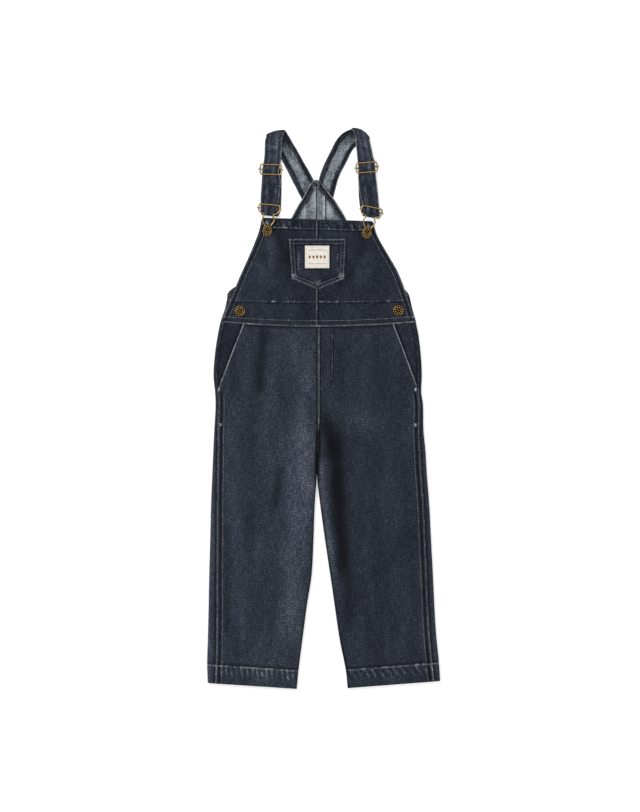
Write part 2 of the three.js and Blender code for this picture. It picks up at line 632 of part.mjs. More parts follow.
/** The pocket on the bib, pointed at the bottom. */
function bibPocket() {
  const rows = 7;
  const columns = 9;
  return wall(rows, columns, (i, j) => {
    const u = j / (columns - 1);
    const v = i / (rows - 1);
    const topX = POCKET.topLeft + (POCKET.topRight - POCKET.topLeft) * u;
    const lowX = POCKET.lowLeft + (POCKET.lowRight - POCKET.lowLeft) * u;
    const point = 1 - Math.abs(u - 0.5) * 2;
    const lowY = POCKET.lowY + (POCKET.pointY - POCKET.lowY) * point;
    const x = topX + (lowX - topX) * v;
    const y = POCKET.topY + (lowY - POCKET.topY) * v;
    const low = bibTop(x, y) + GAP;
    return { outer: [x, y, low + CLOTH], inner: [x, y, low] };
  });
}

/** The woven label on the pocket. */
function label() {
  const steps = 5;
  return wall(steps, steps, (i, j) => {
    const x = LABEL.left + (LABEL.right - LABEL.left) * (j / (steps - 1));
    const y = LABEL.top + (LABEL.bottom - LABEL.top) * (i / (steps - 1));
    const low = bibTop(x, y) + GAP + CLOTH + GAP;
    return { outer: [x, y, low + TRIM_CLOTH], inner: [x, y, low] };
  });
}

/** The fly shape sewn on the right front. */
function fly() {
  const rows = 12;
  const columns = 4;
  return wall(rows, columns, (i, j) => {
    const y = FLY.top + (FLY.bottom - FLY.top) * (i / (rows - 1));
    const below = Math.min(1, Math.max(0, (FLY.turn - y) / (FLY.turn - FLY.bottom + 1)));
    const right = FLY.left + (FLY.right - FLY.left) * Math.sqrt(1 - below * below);
    const x = FLY.left + (right - FLY.left) * (j / (columns - 1));
    const low = frontTop('right', x, y) + GAP;
    return { outer: [x, y, low + TRIM_CLOTH], inner: [x, y, low] };
  });
}

for (const side of ['left', 'right']) {
  piece(`bib_${side}`, bibHalf(side), DENIM_DARK);
}
piece('bib_pocket', bibPocket(), DENIM_DARK);
piece('label', label(), LABEL_CREAM);
piece('fly', fly(), DENIM_FACE);

// Straps

/** The strap's middle surface, with the two folds put in as half rounds. */
function strapLine(side) {
  const rows = [];
  STRAP_ROWS[side].forEach((row) => {
    const a = new THREE.Vector3(row.ax, row.ay, row.z);
    const b = new THREE.Vector3(row.bx, row.by, row.z);
    if (row.turn === undefined) {
      rows.push({ a, b });
      return;
    }
    const radius = Math.abs(row.turn - row.z) / 2;
    const before = rows[rows.length - 1];
    const heading = a.clone().add(b).sub(before.a).sub(before.b).setZ(0);
    const outward = new THREE.Vector3(a.y - b.y, b.x - a.x, 0).normalize();
    if (outward.dot(heading) < 0) {
      outward.negate();
    }
    for (let k = 0; k <= STRAP_TURN_STEPS; k += 1) {
      const angle = Math.PI * (k / STRAP_TURN_STEPS);
      const shift = outward.clone().multiplyScalar(radius * Math.sin(angle));
      const z = row.z + (row.turn - row.z) * (1 - Math.cos(angle)) / 2;
      rows.push({ a: a.clone().add(shift).setZ(z), b: b.clone().add(shift).setZ(z) });
    }
  });
  return rows;
}

/** One strap: from under the back's point over the shoulder, through the slider and round the clasp. */
function strap(side) {
  const rows = strapLine(side);
  const middle = (row) => row.a.clone().add(row.b).multiplyScalar(0.5);
  const normals = rows.map((row, i) => {
    const ahead = middle(rows[Math.min(i + 1, rows.length - 1)]);
    const behind = middle(rows[Math.max(i - 1, 0)]);
    const across = row.b.clone().sub(row.a);
    return across.cross(ahead.sub(behind)).normalize().multiplyScalar(STRAP_CLOTH / 2);
  });
  return wall(rows.length, 2, (i, j) => {
    const edge = j === 0 ? rows[i].a : rows[i].b;
    const outer = edge.clone().add(normals[i]);
    const inner = edge.clone().sub(normals[i]);
    return { outer: outer.toArray(), inner: inner.toArray() };
  });
}

for (const side of ['left', 'right']) {
  piece(`strap_${side}`, strap(side), DENIM_FACE);
}

// Brass hardware

/** A round wire along a line of points, closed on itself or with flat ends. */
function wire(points, radius, closed) {
  const curve = new THREE.CatmullRomCurve3(points, closed, 'centripetal');
  const steps = points.length * 2;
  const frames = curve.computeFrenetFrames(steps, closed);
  const count = closed ? steps : steps + 1;
  const positions = [];
  for (let i = 0; i < count; i += 1) {
    const centre = curve.getPointAt(i / steps);
    for (let k = 0; k < WIRE.sides; k += 1) {
      const angle = 2 * Math.PI * (k / WIRE.sides);
      const spoke = frames.normals[i].clone().multiplyScalar(radius * Math.cos(angle));
      spoke.addScaledVector(frames.binormals[i], radius * Math.sin(angle));
      positions.push(...centre.clone().add(spoke).toArray());
    }
  }
  const indices = [];
  const rings = closed ? count : count - 1;
  for (let i = 0; i < rings; i += 1) {
    const next = (i + 1) % count;
    for (let k = 0; k < WIRE.sides; k += 1) {
      const side = (k + 1) % WIRE.sides;
      const a = i * WIRE.sides + k;
      const b = i * WIRE.sides + side;
      const c = next * WIRE.sides + side;
      const d = next * WIRE.sides + k;
      indices.push(a, b, c, a, c, d);
    }
  }
  if (!closed) {
    const end = (count - 1) * WIRE.sides;
    for (let k = 1; k < WIRE.sides - 1; k += 1) {
      indices.push(0, k + 1, k);
      indices.push(end, end + k, end + k + 1);
    }
  }
  return solid(positions, facingOut(positions, indices));
}

/** A closed mesh as a solid that can be joined and cut. */
function solid(positions, indices) {
  return new wasm.Manifold(new wasm.Mesh({
    numProp: 3,
    vertProperties: new Float32Array(positions),
    triVerts: new Uint32Array(indices),
  }));
}

/** A solid turned about the vertical and moved to its place, as a geometry. */
function placed(body, place) {
  const mesh = body.getMesh();
  const geometry = new THREE.BufferGeometry();
  geometry.setAttribute('position', new THREE.Float32BufferAttribute(mesh.vertProperties, 3));
  geometry.setIndex(Array.from(mesh.triVerts));
  geometry.rotateZ(THREE.MathUtils.degToRad(place.turn));
  geometry.translate(place.x, place.y, 0);
  geometry.computeVertexNormals();
  return geometry;
}

/** The cross bar under the strap, rising at its ends to grip the frame's sides. */
function crossBar(half, nub, y, lowZ, frameZ) {
  const line = [
    [-nub, y, frameZ],
    [-half + 0.2, y, frameZ - 0.3],
    [-half + 1.2, y, lowZ + 0.8],
    [-half + 2.8, y, lowZ],
    [0, y, lowZ],
    [half - 2.8, y, lowZ],
    [half - 1.2, y, lowZ + 0.8],
    [half - 0.2, y, frameZ - 0.3],
    [nub, y, frameZ],
  ];
  return wire(line.map((point) => new THREE.Vector3(...point)), WIRE.bar, false);
}

/** The slider: a rounded wire frame over the strap and a cross bar under it. */
function slider() {
  const { halfWidth: w, halfHeight: h, corner: c, frameZ: z } = SLIDER;
  const corners = [[w, h], [-w, h], [-w, -h], [w, -h]];
  const line = corners.flatMap(([x, y]) => {
    const inX = x - Math.sign(x) * c;
    const inY = y - Math.sign(y) * c;
    const bend = c * (1 - Math.SQRT1_2);
    const side = new THREE.Vector3(x, inY, z);
    const round = new THREE.Vector3(x - Math.sign(x) * bend, y - Math.sign(y) * bend, z);
    const bar = new THREE.Vector3(inX, y, z);
    return x * y > 0 ? [side, round, bar] : [bar, round, side];
  });
  const frame = wire(line, WIRE.frame, true);
  return frame.add(crossBar(w, SLIDER.nub, 0, SLIDER.barZ, z));
}

/** The scalloped catch plate with the hole that the button's post passes through. */
function catchPlate() {
  const outline = new THREE.Shape();
  const steps = PLATE.lobes * 4;
  for (let k = 0; k < steps; k += 1) {
    const angle = 2 * Math.PI * (k / steps);
    const radius = PLATE.radius + PLATE.depth * Math.cos(PLATE.lobes * angle);
    const x = radius * Math.cos(angle);
    const y = PLATE.y + radius * Math.sin(angle);
    if (k === 0) {
      outline.moveTo(x, y);
    } else {
      outline.lineTo(x, y);
    }
  }
  const hole = new THREE.Path();
  hole.absarc(0, PLATE.holeY, BIB_BUTTON.post + POST_PLAY, 0, 2 * Math.PI, true);
  outline.holes.push(hole);
  const geometry = new THREE.ExtrudeGeometry(outline, {
    depth: PLATE.thick,
    bevelEnabled: false,
    curveSegments: 8,
  });
  geometry.translate(0, 0, PLATE.z);
  return welded(geometry);
}

/** An unindexed geometry as a solid, with its doubled points joined. */
function welded(geometry) {
  const source = geometry.getAttribute('position');
  const seen = new Map();
  const positions = [];
  const indices = [];
  for (let i = 0; i < source.count; i += 1) {
    const point = [source.getX(i), source.getY(i), source.getZ(i)];
    const key = point.map((value) => value.toFixed(5)).join(' ');
    if (!seen.has(key)) {
      seen.set(key, positions.length / 3);
      positions.push(...point);
    }
    indices.push(seen.get(key));
  }
  return solid(positions, facingOut(positions, indices));
}

/** The clasp: one bent wire over the strap, its cross bar and its catch plate. */
function clasp() {
  const right = CLASP_ROWS.map((row) => new THREE.Vector3(row.x, row.y, row.z));
  const left = CLASP_ROWS.map((row) => new THREE.Vector3(-row.x, row.y, row.z));
  const line = [...right.reverse(), ...left];
  const bent = wire(line, WIRE.frame, false);
  const bar = crossBar(CLASP.halfWidth, CLASP.nub, CLASP.barY, CLASP.barZ, CLASP.frameZ);
  return bent.add(bar).add(catchPlate());
}

/** A turned button: post, flat underside, rim and low dome. */
function buttonProfile(size, bottom, headBottom) {
  const top = headBottom + size.rim + size.dome;
  return [
    [0, bottom],
    [size.post, bottom],
    [size.post, headBottom],
    [size.head - 0.5, headBottom],
    [size.head, headBottom + size.rim / 2],
    [size.head - 0.3, headBottom + size.rim],
    [size.head * 0.72, headBottom + size.rim + size.dome * 0.55],
    [size.head * 0.35, top - size.dome * 0.08],
    [0, top],
  ].map((point) => new THREE.Vector2(...point));
}

/** A button standing at a point. */
function button(size, place, bottom, headBottom) {
  const geometry = new THREE.LatheGeometry(buttonProfile(size, bottom, headBottom), 16);
  geometry.rotateX(Math.PI / 2);
  geometry.translate(place.x, place.y, 0);
  return geometry;
}

/** Where the post of a bib button stands, in the middle of the catch plate's hole. */
function bibButtonPlace(side) {
  const place = CLASP_PLACE[side];
  const turn = THREE.MathUtils.degToRad(place.turn);
  return {
    x: place.x - Math.sin(turn) * PLATE.holeY,
    y: place.y + Math.cos(turn) * PLATE.holeY,
  };
}

for (const side of ['left', 'right']) {
  piece(`slider_${side}`, placed(slider(), SLIDER_PLACE[side]), BRASS, 0.4, 0.9);
  piece(`clasp_${side}`, placed(clasp(), CLASP_PLACE[side]), BRASS, 0.4, 0.9);
  const post = bibButtonPlace(side);
  const foot = bibTop(post.x, post.y) + 2 * GAP;
  piece(`bib_button_${side}`, button(BIB_BUTTON, post, foot, BIB_BUTTON.headZ), BRASS, 0.4, 0.9);
  const spot = SIDE_BUTTON_PLACE[side];
  const seat = bibTop(spot.x, spot.y) + GAP + 0.1;
  const under = seat + SIDE_BUTTON.standOff;
  piece(`side_button_${side}`, button(SIDE_BUTTON, spot, seat, under), BRASS, 0.4, 0.9);
}

export default garment;
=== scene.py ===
"""Looks of the kids' dungarees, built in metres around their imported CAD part.

The garment lies flat on its back. +Z is up through its front, +Y points to the shoulders, and left
and right are the viewer's. Sizes below are in millimetres and become metres where a mesh is made.
"""

import logging
import math
from dataclasses import dataclass, field
from enum import Enum
from typing import Callable, Optional, Sequence, Union

import bmesh
import bpy
import numpy as np
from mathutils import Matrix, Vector

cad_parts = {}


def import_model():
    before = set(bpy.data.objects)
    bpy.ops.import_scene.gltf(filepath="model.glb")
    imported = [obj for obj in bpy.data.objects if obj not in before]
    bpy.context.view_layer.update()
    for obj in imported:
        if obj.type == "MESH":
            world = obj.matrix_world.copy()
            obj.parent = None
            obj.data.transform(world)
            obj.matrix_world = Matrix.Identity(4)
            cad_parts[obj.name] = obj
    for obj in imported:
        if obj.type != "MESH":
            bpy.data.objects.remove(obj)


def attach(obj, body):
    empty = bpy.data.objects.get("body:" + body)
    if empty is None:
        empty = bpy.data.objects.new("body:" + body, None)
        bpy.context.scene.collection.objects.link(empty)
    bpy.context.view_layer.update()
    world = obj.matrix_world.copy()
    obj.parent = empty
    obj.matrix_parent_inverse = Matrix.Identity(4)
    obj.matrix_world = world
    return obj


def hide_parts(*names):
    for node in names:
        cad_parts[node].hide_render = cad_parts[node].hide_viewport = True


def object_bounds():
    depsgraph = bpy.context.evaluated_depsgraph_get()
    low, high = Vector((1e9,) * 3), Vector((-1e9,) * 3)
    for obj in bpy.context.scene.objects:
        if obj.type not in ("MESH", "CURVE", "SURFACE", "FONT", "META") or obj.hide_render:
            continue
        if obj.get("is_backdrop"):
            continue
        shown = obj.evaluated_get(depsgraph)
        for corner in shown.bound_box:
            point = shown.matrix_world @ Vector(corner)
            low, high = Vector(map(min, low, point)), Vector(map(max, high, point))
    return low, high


LOG = logging.getLogger("dungarees")
MM = 0.001
BODY = "root"

Grid = np.ndarray
Material = bpy.types.Material
Piece = bpy.types.Object
Tree = bpy.types.NodeTree


class Side(Enum):
    """The viewer's side of the garment; the value is the x direction towards its middle."""

    LEFT = 1
    RIGHT = -1

    @property
    def label(self) -> str:
        """The word used in node and piece names."""
        return self.name.lower()


class Slot(Enum):
    """Material slots."""

    DENIM = "denim"
    INSIDE = "denim_inside"
    BRASS = "brass"
    LABEL = "label"


# Shader nodes


def linear(hex_colour: str, alpha: float = 1.0) -> tuple[float, float, float, float]:
    """Turn an sRGB hex colour into linear values.

    Args:
        hex_colour: Six hex digits.
        alpha: The fourth value.

    Returns:
        Linear red, green, blue and alpha.
    """
    values = [int(hex_colour[i : i + 2], 16) / 255 for i in (0, 2, 4)]
    red, green, blue = (v / 12.92 if v <= 0.04045 else ((v + 0.055) / 1.055) ** 2.4 for v in values)
    return red, green, blue, alpha


def add_node(
    tree: Tree, kind: str, inputs: Optional[dict[Union[str, int], object]] = None, **settings: object
) -> bpy.types.Node:
    """Add one shader node and fill it in.

    Args:
        tree: The node tree.
        kind: The node's type name without its ShaderNode prefix.
        inputs: A value or an output socket for each named or numbered input.
        **settings: Attributes of the node.

    Returns:
        The new node.
    """
    node = tree.nodes.new(f"ShaderNode{kind}")
    for name, value in settings.items():
        setattr(node, name, value)
    for key, value in (inputs or {}).items():
        if isinstance(value, bpy.types.NodeSocket):
            tree.links.new(value, node.inputs[key])
        else:
            node.inputs[key].default_value = value
    return node


def math_node(tree: Tree, operation: str, *values: object, clamp: bool = False):
    """Add a Math node."""
    inputs = dict(enumerate(values))
    return add_node(tree, "Math", inputs, operation=operation, use_clamp=clamp).outputs[0]


def weighted_sum(tree: Tree, base: float, terms: Sequence[tuple[object, float]]):
    """Add up sockets with weights, on top of a constant.

    Args:
        tree: The node tree.
        base: The constant.
        terms: Pairs of socket and weight.

    Returns:
        The socket of the sum.
    """
    total: object = base
    for socket, weight in terms:
        total = math_node(tree, "MULTIPLY_ADD", socket, weight, total)
    return total


def colour_ramp(tree: Tree, factor: object, stops: Sequence[tuple[float, str]]):
    """Add a colour ramp.

    Args:
        tree: The node tree.
        factor: The socket that drives it.
        stops: Pairs of position and sRGB hex colour.

    Returns:
        Its colour socket.
    """
    node = add_node(tree, "ValToRGB", {0: factor})
    elements = node.color_ramp.elements
    while len(elements) < len(stops):
        elements.new(1.0)
    for element, (position, colour) in zip(elements, stops):
        element.position = position
        element.color = linear(colour)
    return node.outputs[0]


def cloth_noise(tree: Tree, uv: object, size_mm: tuple[float, float], detail: float):
    """Noise whose grains are this many millimetres across and along the warp.

    Args:
        tree: The node tree.
        uv: The socket of the cloth coordinates, in millimetres.
        size_mm: The grain's size across and along the warp.
        detail: The noise's detail.

    Returns:
        A socket from 0 to 1 with most values near 0.5.
    """
    scale = (1 / size_mm[0], 1 / size_mm[1], 1.0)
    mapped = add_node(tree, "Mapping", {"Vector": uv, "Scale": scale}).outputs[0]
    noise = add_node(tree, "TexNoise", {"Vector": mapped, "Scale": 1.0, "Detail": detail, "Roughness": 0.6})
    return noise.outputs["Fac"]


def new_material(name: str, comment: str) -> tuple[Material, Tree]:
    """Make an empty node material.

    Args:
        name: Its name.
        comment: What the real material is.

    Returns:
        The material and its node tree.
    """
    material = bpy.data.materials.new(name)
    material.use_nodes = True
    material["comment"] = comment
    material.node_tree.nodes.clear()
    return material, material.node_tree


def mixed(tree: Tree, share: object, first: object, second: object, blend: str = "MIX"):
    """Mix two colours, with the share of the second one."""
    inputs = {"Factor": share, 6: first, 7: second}
    return add_node(tree, "Mix", inputs, data_type="RGBA", blend_type=blend).outputs[2]


def bumped(tree: Tree, height: object, distance_mm: float, strength: float):
    """Turn a height into a normal."""
    inputs = {"Height": height, "Distance": distance_mm * MM, "Strength": strength}
    return add_node(tree, "Bump", inputs).outputs[0]


def close_material(material: Material, viewport: str, inputs: dict[str, object]) -> Material:
    """Add the shader and the output, and set the solid-view colour.

    Args:
        material: The material.
        viewport: The sRGB hex colour for solid view.
        inputs: The shader's named inputs.

    Returns:
        The finished material.
    """
    bsdf = add_node(material.node_tree, "BsdfPrincipled", inputs)
    add_node(material.node_tree, "OutputMaterial", {0: bsdf.outputs[0]})
    material.diffuse_color = linear(viewport)
    return material


# Finishes


@dataclass(frozen=True)
class DenimFinish:
    """Washed twill with a dark warp and a pale weft; colours are sRGB, sizes in millimetres."""

    name: str = "washed_blue_black_denim"
    comment: str = "10 oz 3/1 twill, blue-black warp over grey weft, garment washed"
    shadow: str = "0a0c11"
    deep: str = "181c23"
    body: str = "2a2f38"
    pale: str = "444a54"
    bare: str = "868c93"
    worn: str = "a9aeb2"
    cool: str = "ddf2ff"
    warm: str = "ffebee"
    base: float = 0.47
    thread_mm: tuple[float, float] = (1.3, 1.7)
    slub_mm: tuple[float, float] = (1.3, 12.0)
    weft_mm: tuple[float, float] = (8.0, 1.3)
    mottle_mm: tuple[float, float] = (3.0, 4.2)
    cloud_mm: tuple[float, float] = (26.0, 46.0)
    hue_mm: tuple[float, float] = (1.6, 2.0)
    weights: tuple[float, float, float, float, float] = (1.15, 0.6, 0.45, 0.22, 0.1)
    twill_pitch: float = 0.9
    twill_weight: float = 0.05
    grit: float = 6.5
    roughness: float = 0.88
    specular: float = 0.12
    sheen: float = 0.02
    bump_mm: float = 0.16

    def build(self) -> Material:
        """Make the material from the cloth coordinates and the wear and shade attributes.

        Returns:
            The material.
        """
        material, tree = new_material(self.name, self.comment)
        uv = add_node(tree, "UVMap", uv_map="cloth").outputs[0]
        wear = add_node(tree, "Attribute", attribute_name="wear").outputs["Fac"]
        shade = add_node(tree, "Attribute", attribute_name="shade").outputs["Fac"]
        grains = [(self.thread_mm, 2.0), (self.slub_mm, 2.0), (self.weft_mm, 1.0)]
        grains += [(self.mottle_mm, 3.0), (self.cloud_mm, 2.0)]
        noises = [cloth_noise(tree, uv, size, detail) for size, detail in grains]
        thread, slub, weft = noises[:3]
        turn = 2 * math.pi / self.twill_pitch
        slant = add_node(
            tree, "VectorMath", {0: uv, 1: (turn * 0.89, turn * 0.45, 0.0)}, operation="DOT_PRODUCT"
        )
        twill = math_node(tree, "SINE", slant.outputs["Value"])
        centred = [math_node(tree, "SUBTRACT", noise, 0.5) for noise in noises]
        terms = [*zip(centred, self.weights), (twill, self.twill_weight), (shade, 1.0)]
        tone = weighted_sum(tree, self.base, terms)
        colours = (self.shadow, self.deep, self.body, self.pale, self.bare)
        colour = colour_ramp(tree, tone, list(zip((0.0, 0.27, 0.5, 0.74, 1.0), colours)))
        hue = cloth_noise(tree, uv, self.hue_mm, 2.0)
        tint = colour_ramp(tree, hue, [(0.38, self.cool), (0.62, self.warm)])
        tinted = mixed(tree, 1.0, colour, tint, "MULTIPLY")
        grain = weighted_sum(tree, -0.5, [(thread, 0.6), (weft, 0.4)])
        gritty = math_node(tree, "MULTIPLY_ADD", grain, self.grit, 1.3)
        rubbed = math_node(tree, "MULTIPLY_ADD", wear, gritty, -0.2, clamp=True)
        height = weighted_sum(tree, 0.0, [(thread, 0.55), (slub, 0.3), (twill, 0.16)])
        inputs = {
            "Base Color": mixed(tree, rubbed, tinted, linear(self.worn)), "Roughness": self.roughness,
            "Specular IOR Level": self.specular, "Sheen Weight": self.sheen,
            "Normal": bumped(tree, height, self.bump_mm, 0.75)
        }
        return close_material(material, self.body, inputs)


INSIDE_DENIM = DenimFinish(
    name="denim_wrong_side", comment="wrong side of the same twill, where the pale weft shows",
    shadow="1d2128", deep="484e51", body="7a8283", pale="9ca3a3", bare="bcc1c0", worn="c0c4c6", base=0.5,
    weights=(1.0, 0.8, 0.5, 0.5, 0.4), twill_weight=-0.06
)


@dataclass(frozen=True)
class ThreadFinish:
    """Spun polyester-cotton sewing thread."""

    name: str
    colour: str
    dark: str
    roughness: float = 0.6

    def build(self) -> Material:
        """Make the thread's material.

        Returns:
            The material.
        """
        material, tree = new_material(self.name, "corespun sewing thread, ticket 40")
        coords = add_node(tree, "TexCoord").outputs["Object"]
        noise = add_node(tree, "TexNoise", {"Vector": coords, "Scale": 260.0, "Detail": 2.0})
        stops = [(0.35, self.dark), (0.65, self.colour)]
        colour = colour_ramp(tree, noise.outputs["Fac"], stops)
        twist = add_node(tree, "TexNoise", {"Vector": coords, "Scale": 2400.0})
        inputs = {
            "Base Color": colour, "Roughness": self.roughness, "Specular IOR Level": 0.25,
            "Normal": bumped(tree, twist.outputs["Fac"], 0.08, 0.6)
        }
        return close_material(material, self.colour, inputs)


@dataclass(frozen=True)
class BrassFinish:
    """Antique brass: brown patina, rubbed bright on high spots."""

    name: str = "antique_brass"
    patina: str = "2a2216"
    body: str = "6b5534"
    bright: str = "d3b072"
    roughness: float = 0.36

    def build(self) -> Material:
        """Make the metal's material.

        Returns:
            The material.
        """
        material, tree = new_material(self.name, "brass wire and stampings, oxidised and tumbled")
        coords = add_node(tree, "TexCoord").outputs["Object"]
        rub = add_node(tree, "Attribute", attribute_name="rub").outputs["Fac"]
        spots = add_node(tree, "TexNoise", {"Vector": coords, "Scale": 420.0, "Detail": 3.0})
        fine = add_node(tree, "TexNoise", {"Vector": coords, "Scale": 2600.0, "Detail": 2.0})
        parts = [(spots.outputs["Fac"], 0.55), (fine.outputs["Fac"], 0.3), (rub, 0.66)]
        tone = weighted_sum(tree, -0.3, parts)
        stops = [(0.12, self.patina), (0.45, self.body), (0.9, self.bright)]
        colour = colour_ramp(tree, tone, stops)
        rough = math_node(tree, "MULTIPLY_ADD", fine.outputs["Fac"], 0.2, self.roughness - 0.1)
        normal = bumped(tree, fine.outputs["Fac"], 0.05, 0.4)
        inputs = {"Base Color": colour, "Metallic": 1.0, "Roughness": rough, "Normal": normal}
        return close_material(material, self.body, inputs)


@dataclass(frozen=True)
class LabelFinish:
    """Woven label: cream ground, two tan lines and a row of rust-brown diamonds, in millimetres."""

    ground: str = "e6e3db"
    ground_dark: str = "bdb9b0"
    line: str = "a3896b"
    mark: str = "8f5229"
    size: tuple[float, float] = (35.4, 32.7)
    line_inset: float = 6.4
    line_half: float = 0.45
    mark_pitch: float = 5.4
    mark_radius: float = 2.1
    margin: float = 4.6

    def build(self) -> Material:
        """Make the label's material.

        Returns:
            The material.
        """
        material, tree = new_material("woven_label", "damask-woven polyester label")
        uv = add_node(tree, "UVMap", uv_map="cloth").outputs[0]
        across, up = add_node(tree, "SeparateXYZ", {0: uv}).outputs[:2]
        width, height = self.size
        weave = cloth_noise(tree, uv, (0.5, 0.35), 2.0)
        soil = cloth_noise(tree, uv, (7.0, 5.0), 2.0)
        tone = weighted_sum(tree, 0.0, [(weave, 0.6), (soil, 0.4)])
        ground = colour_ramp(tree, tone, [(0.32, self.ground_dark), (0.62, self.ground)])

        def off(socket: object, middle: float) -> object:
            """Measure how far a value is from another."""
            return math_node(tree, "ABSOLUTE", math_node(tree, "SUBTRACT", socket, middle))

        fold = off(up, height / 2)
        inside = math_node(tree, "LESS_THAN", off(across, width / 2), width / 2 - self.margin)
        line = math_node(tree, "LESS_THAN", off(fold, height / 2 - self.line_inset), self.line_half)
        line = math_node(tree, "MULTIPLY", line, inside)
        lined = mixed(tree, line, ground, linear(self.line))
        centred = math_node(tree, "SUBTRACT", across, width / 2)
        cell = math_node(tree, "PINGPONG", centred, self.mark_pitch / 2)
        reach = math_node(tree, "MULTIPLY_ADD", fold, 0.72, cell)
        diamond = math_node(tree, "LESS_THAN", reach, self.mark_radius)
        marked = math_node(tree, "MULTIPLY", diamond, inside)
        colour = mixed(tree, marked, lined, linear(self.mark))
        normal = bumped(tree, weave, 0.1, 0.7)
        inputs = {"Base Color": colour, "Roughness": 0.7, "Specular IOR Level": 0.2, "Normal": normal}
        return close_material(material, self.ground, inputs)


@dataclass(frozen=True)
class FloorFinish:
    """Matt white acrylic sheet, lit from behind so that it shows no grey."""

    colour: str = "f4f4f4"
    roughness: float = 0.9
    glow: float = 0.3

    def build(self) -> Material:
        """Make the floor's material.

        Returns:
            The material.
        """
        material, _ = new_material("white_acrylic", "opal acrylic sheet of a light table")
        inputs = {
            "Base Color": linear(self.colour), "Roughness": self.roughness, "Specular IOR Level": 0.1,
            "Emission Color": (1.0, 1.0, 1.0, 1.0), "Emission Strength": self.glow
        }
        return close_material(material, self.colour, inputs)


@dataclass
class Finishes:
    """Every material of the scene, made once."""

    denim: Material = field(default_factory=DenimFinish().build)
    inside: Material = field(default_factory=INSIDE_DENIM.build)
    thread: Material = field(default_factory=ThreadFinish("grey_thread", "a3a8ad", "585e67").build)
    dark_thread: Material = field(default_factory=ThreadFinish("dark_thread", "565b65", "24282f").build)
    label_thread: Material = field(default_factory=ThreadFinish("label_thread", "cfc3a6", "a99a78").build)
    brass: Material = field(default_factory=BrassFinish().build)
    label: Material = field(default_factory=LabelFinish().build)
    floor: Material = field(default_factory=FloorFinish().build)


# Shape helpers

Points = Sequence[tuple[float, float]]


class Track:
    """A smooth curve through rows of position and value, level beyond its ends."""

    def __init__(self, rows: Points) -> None:
        """Keep the rows and work out the slope at each.

        Args:
            rows: Pairs of position and value, with rising positions.
        """
        self.position, self.value = np.array(rows, dtype=float).T
        low = np.maximum(np.arange(len(rows)) - 1, 0)
        high = np.minimum(np.arange(len(rows)) + 1, len(rows) - 1)
        rise = self.value[high] - self.value[low]
        self.slope = rise / (self.position[high] - self.position[low])

    def __call__(self, where: object) -> Grid:
        """Read the curve.

        Args:
            where: One position or an array of them.

        Returns:
            The value at each.
        """
        spot = np.clip(np.asarray(where, dtype=float), self.position[0], self.position[-1])
        k = np.clip(np.searchsorted(self.position, spot, side="right") - 1, 0, len(self.value) - 2)
        span = self.position[k + 1] - self.position[k]
        t = (spot - self.position[k]) / span
        return (
            (2 * t**3 - 3 * t**2 + 1) * self.value[k]
            + (t**3 - 2 * t**2 + t) * span * self.slope[k]
            + (3 * t**2 - 2 * t**3) * self.value[k + 1]
            + (t**3 - t**2) * span * self.slope[k + 1]
        )


def tracks(rows: Sequence[Sequence[float]]) -> list[Track]:
    """Make a curve of each column of a table, along its first one."""
    return [Track([(row[0], row[k]) for row in rows]) for k in range(1, len(rows[0]))]


def ramp(value: object, low: float, high: float) -> Grid:
    """Go smoothly from 0 at low to 1 at high."""
    t = np.clip((np.asarray(value, dtype=float) - low) / (high - low), 0, 1)
    return t * t * (3 - 2 * t)


def bell(distance: object, width: float) -> Grid:
    """A soft bump across a line."""
    return np.exp(-((np.asarray(distance, dtype=float) / width) ** 2))


def patchy(x: object, y: object, size: tuple[float, float], seed: int) -> Grid:
    """Smooth noise on the page, the same in every run.

    Args:
        x: Place across.
        y: Place up.
        size: Size of a patch across and up.
        seed: Chooses the pattern.

    Returns:
        Values from -1 to 1.
    """
    cells = 128
    table = np.random.RandomState(seed).uniform(-1, 1, (cells, cells))
    across = np.asarray(x, dtype=float) / size[0] + 1000
    up = np.asarray(y, dtype=float) / size[1] + 1000
    i, j = np.floor(across).astype(int), np.floor(up).astype(int)
    s, t = across - i, up - j
    s, t = s * s * (3 - 2 * s), t * t * (3 - 2 * t)
    corner = [[table[(i + a) % cells, (j + b) % cells] for b in (0, 1)] for a in (0, 1)]
    low = corner[0][0] * (1 - s) + corner[1][0] * s
    high = corner[0][1] * (1 - s) + corner[1][1] * s
    return low * (1 - t) + high * t


@dataclass(frozen=True)
class Line:
    """A line on the page, through corner points in millimetres."""

    points: Points

    def distance(self, x: Grid, y: Grid) -> tuple[Grid, Grid]:
        """Measure how far points are from the line.

        Args:
            x: Places across.
            y: Places up.

        Returns:
            The distance, positive to the left of its direction, and the length along it.
        """
        best = np.full(np.shape(x), np.inf)
        signed = np.zeros(np.shape(x))
        run = np.zeros(np.shape(x))
        start = 0.0
        for (ax, ay), (bx, by) in zip(self.points[:-1], self.points[1:]):
            length = math.hypot(bx - ax, by - ay)
            tx, ty = (bx - ax) / length, (by - ay) / length
            t = np.clip((x - ax) * tx + (y - ay) * ty, 0, length)
            dx, dy = x - ax - tx * t, y - ay - ty * t
            distance = np.hypot(dx, dy)
            nearer = distance < best
            best = np.where(nearer, distance, best)
            signed = np.where(nearer, np.copysign(distance, tx * dy - ty * dx), signed)
            run = np.where(nearer, start + t, run)
            start += length
        return signed, run


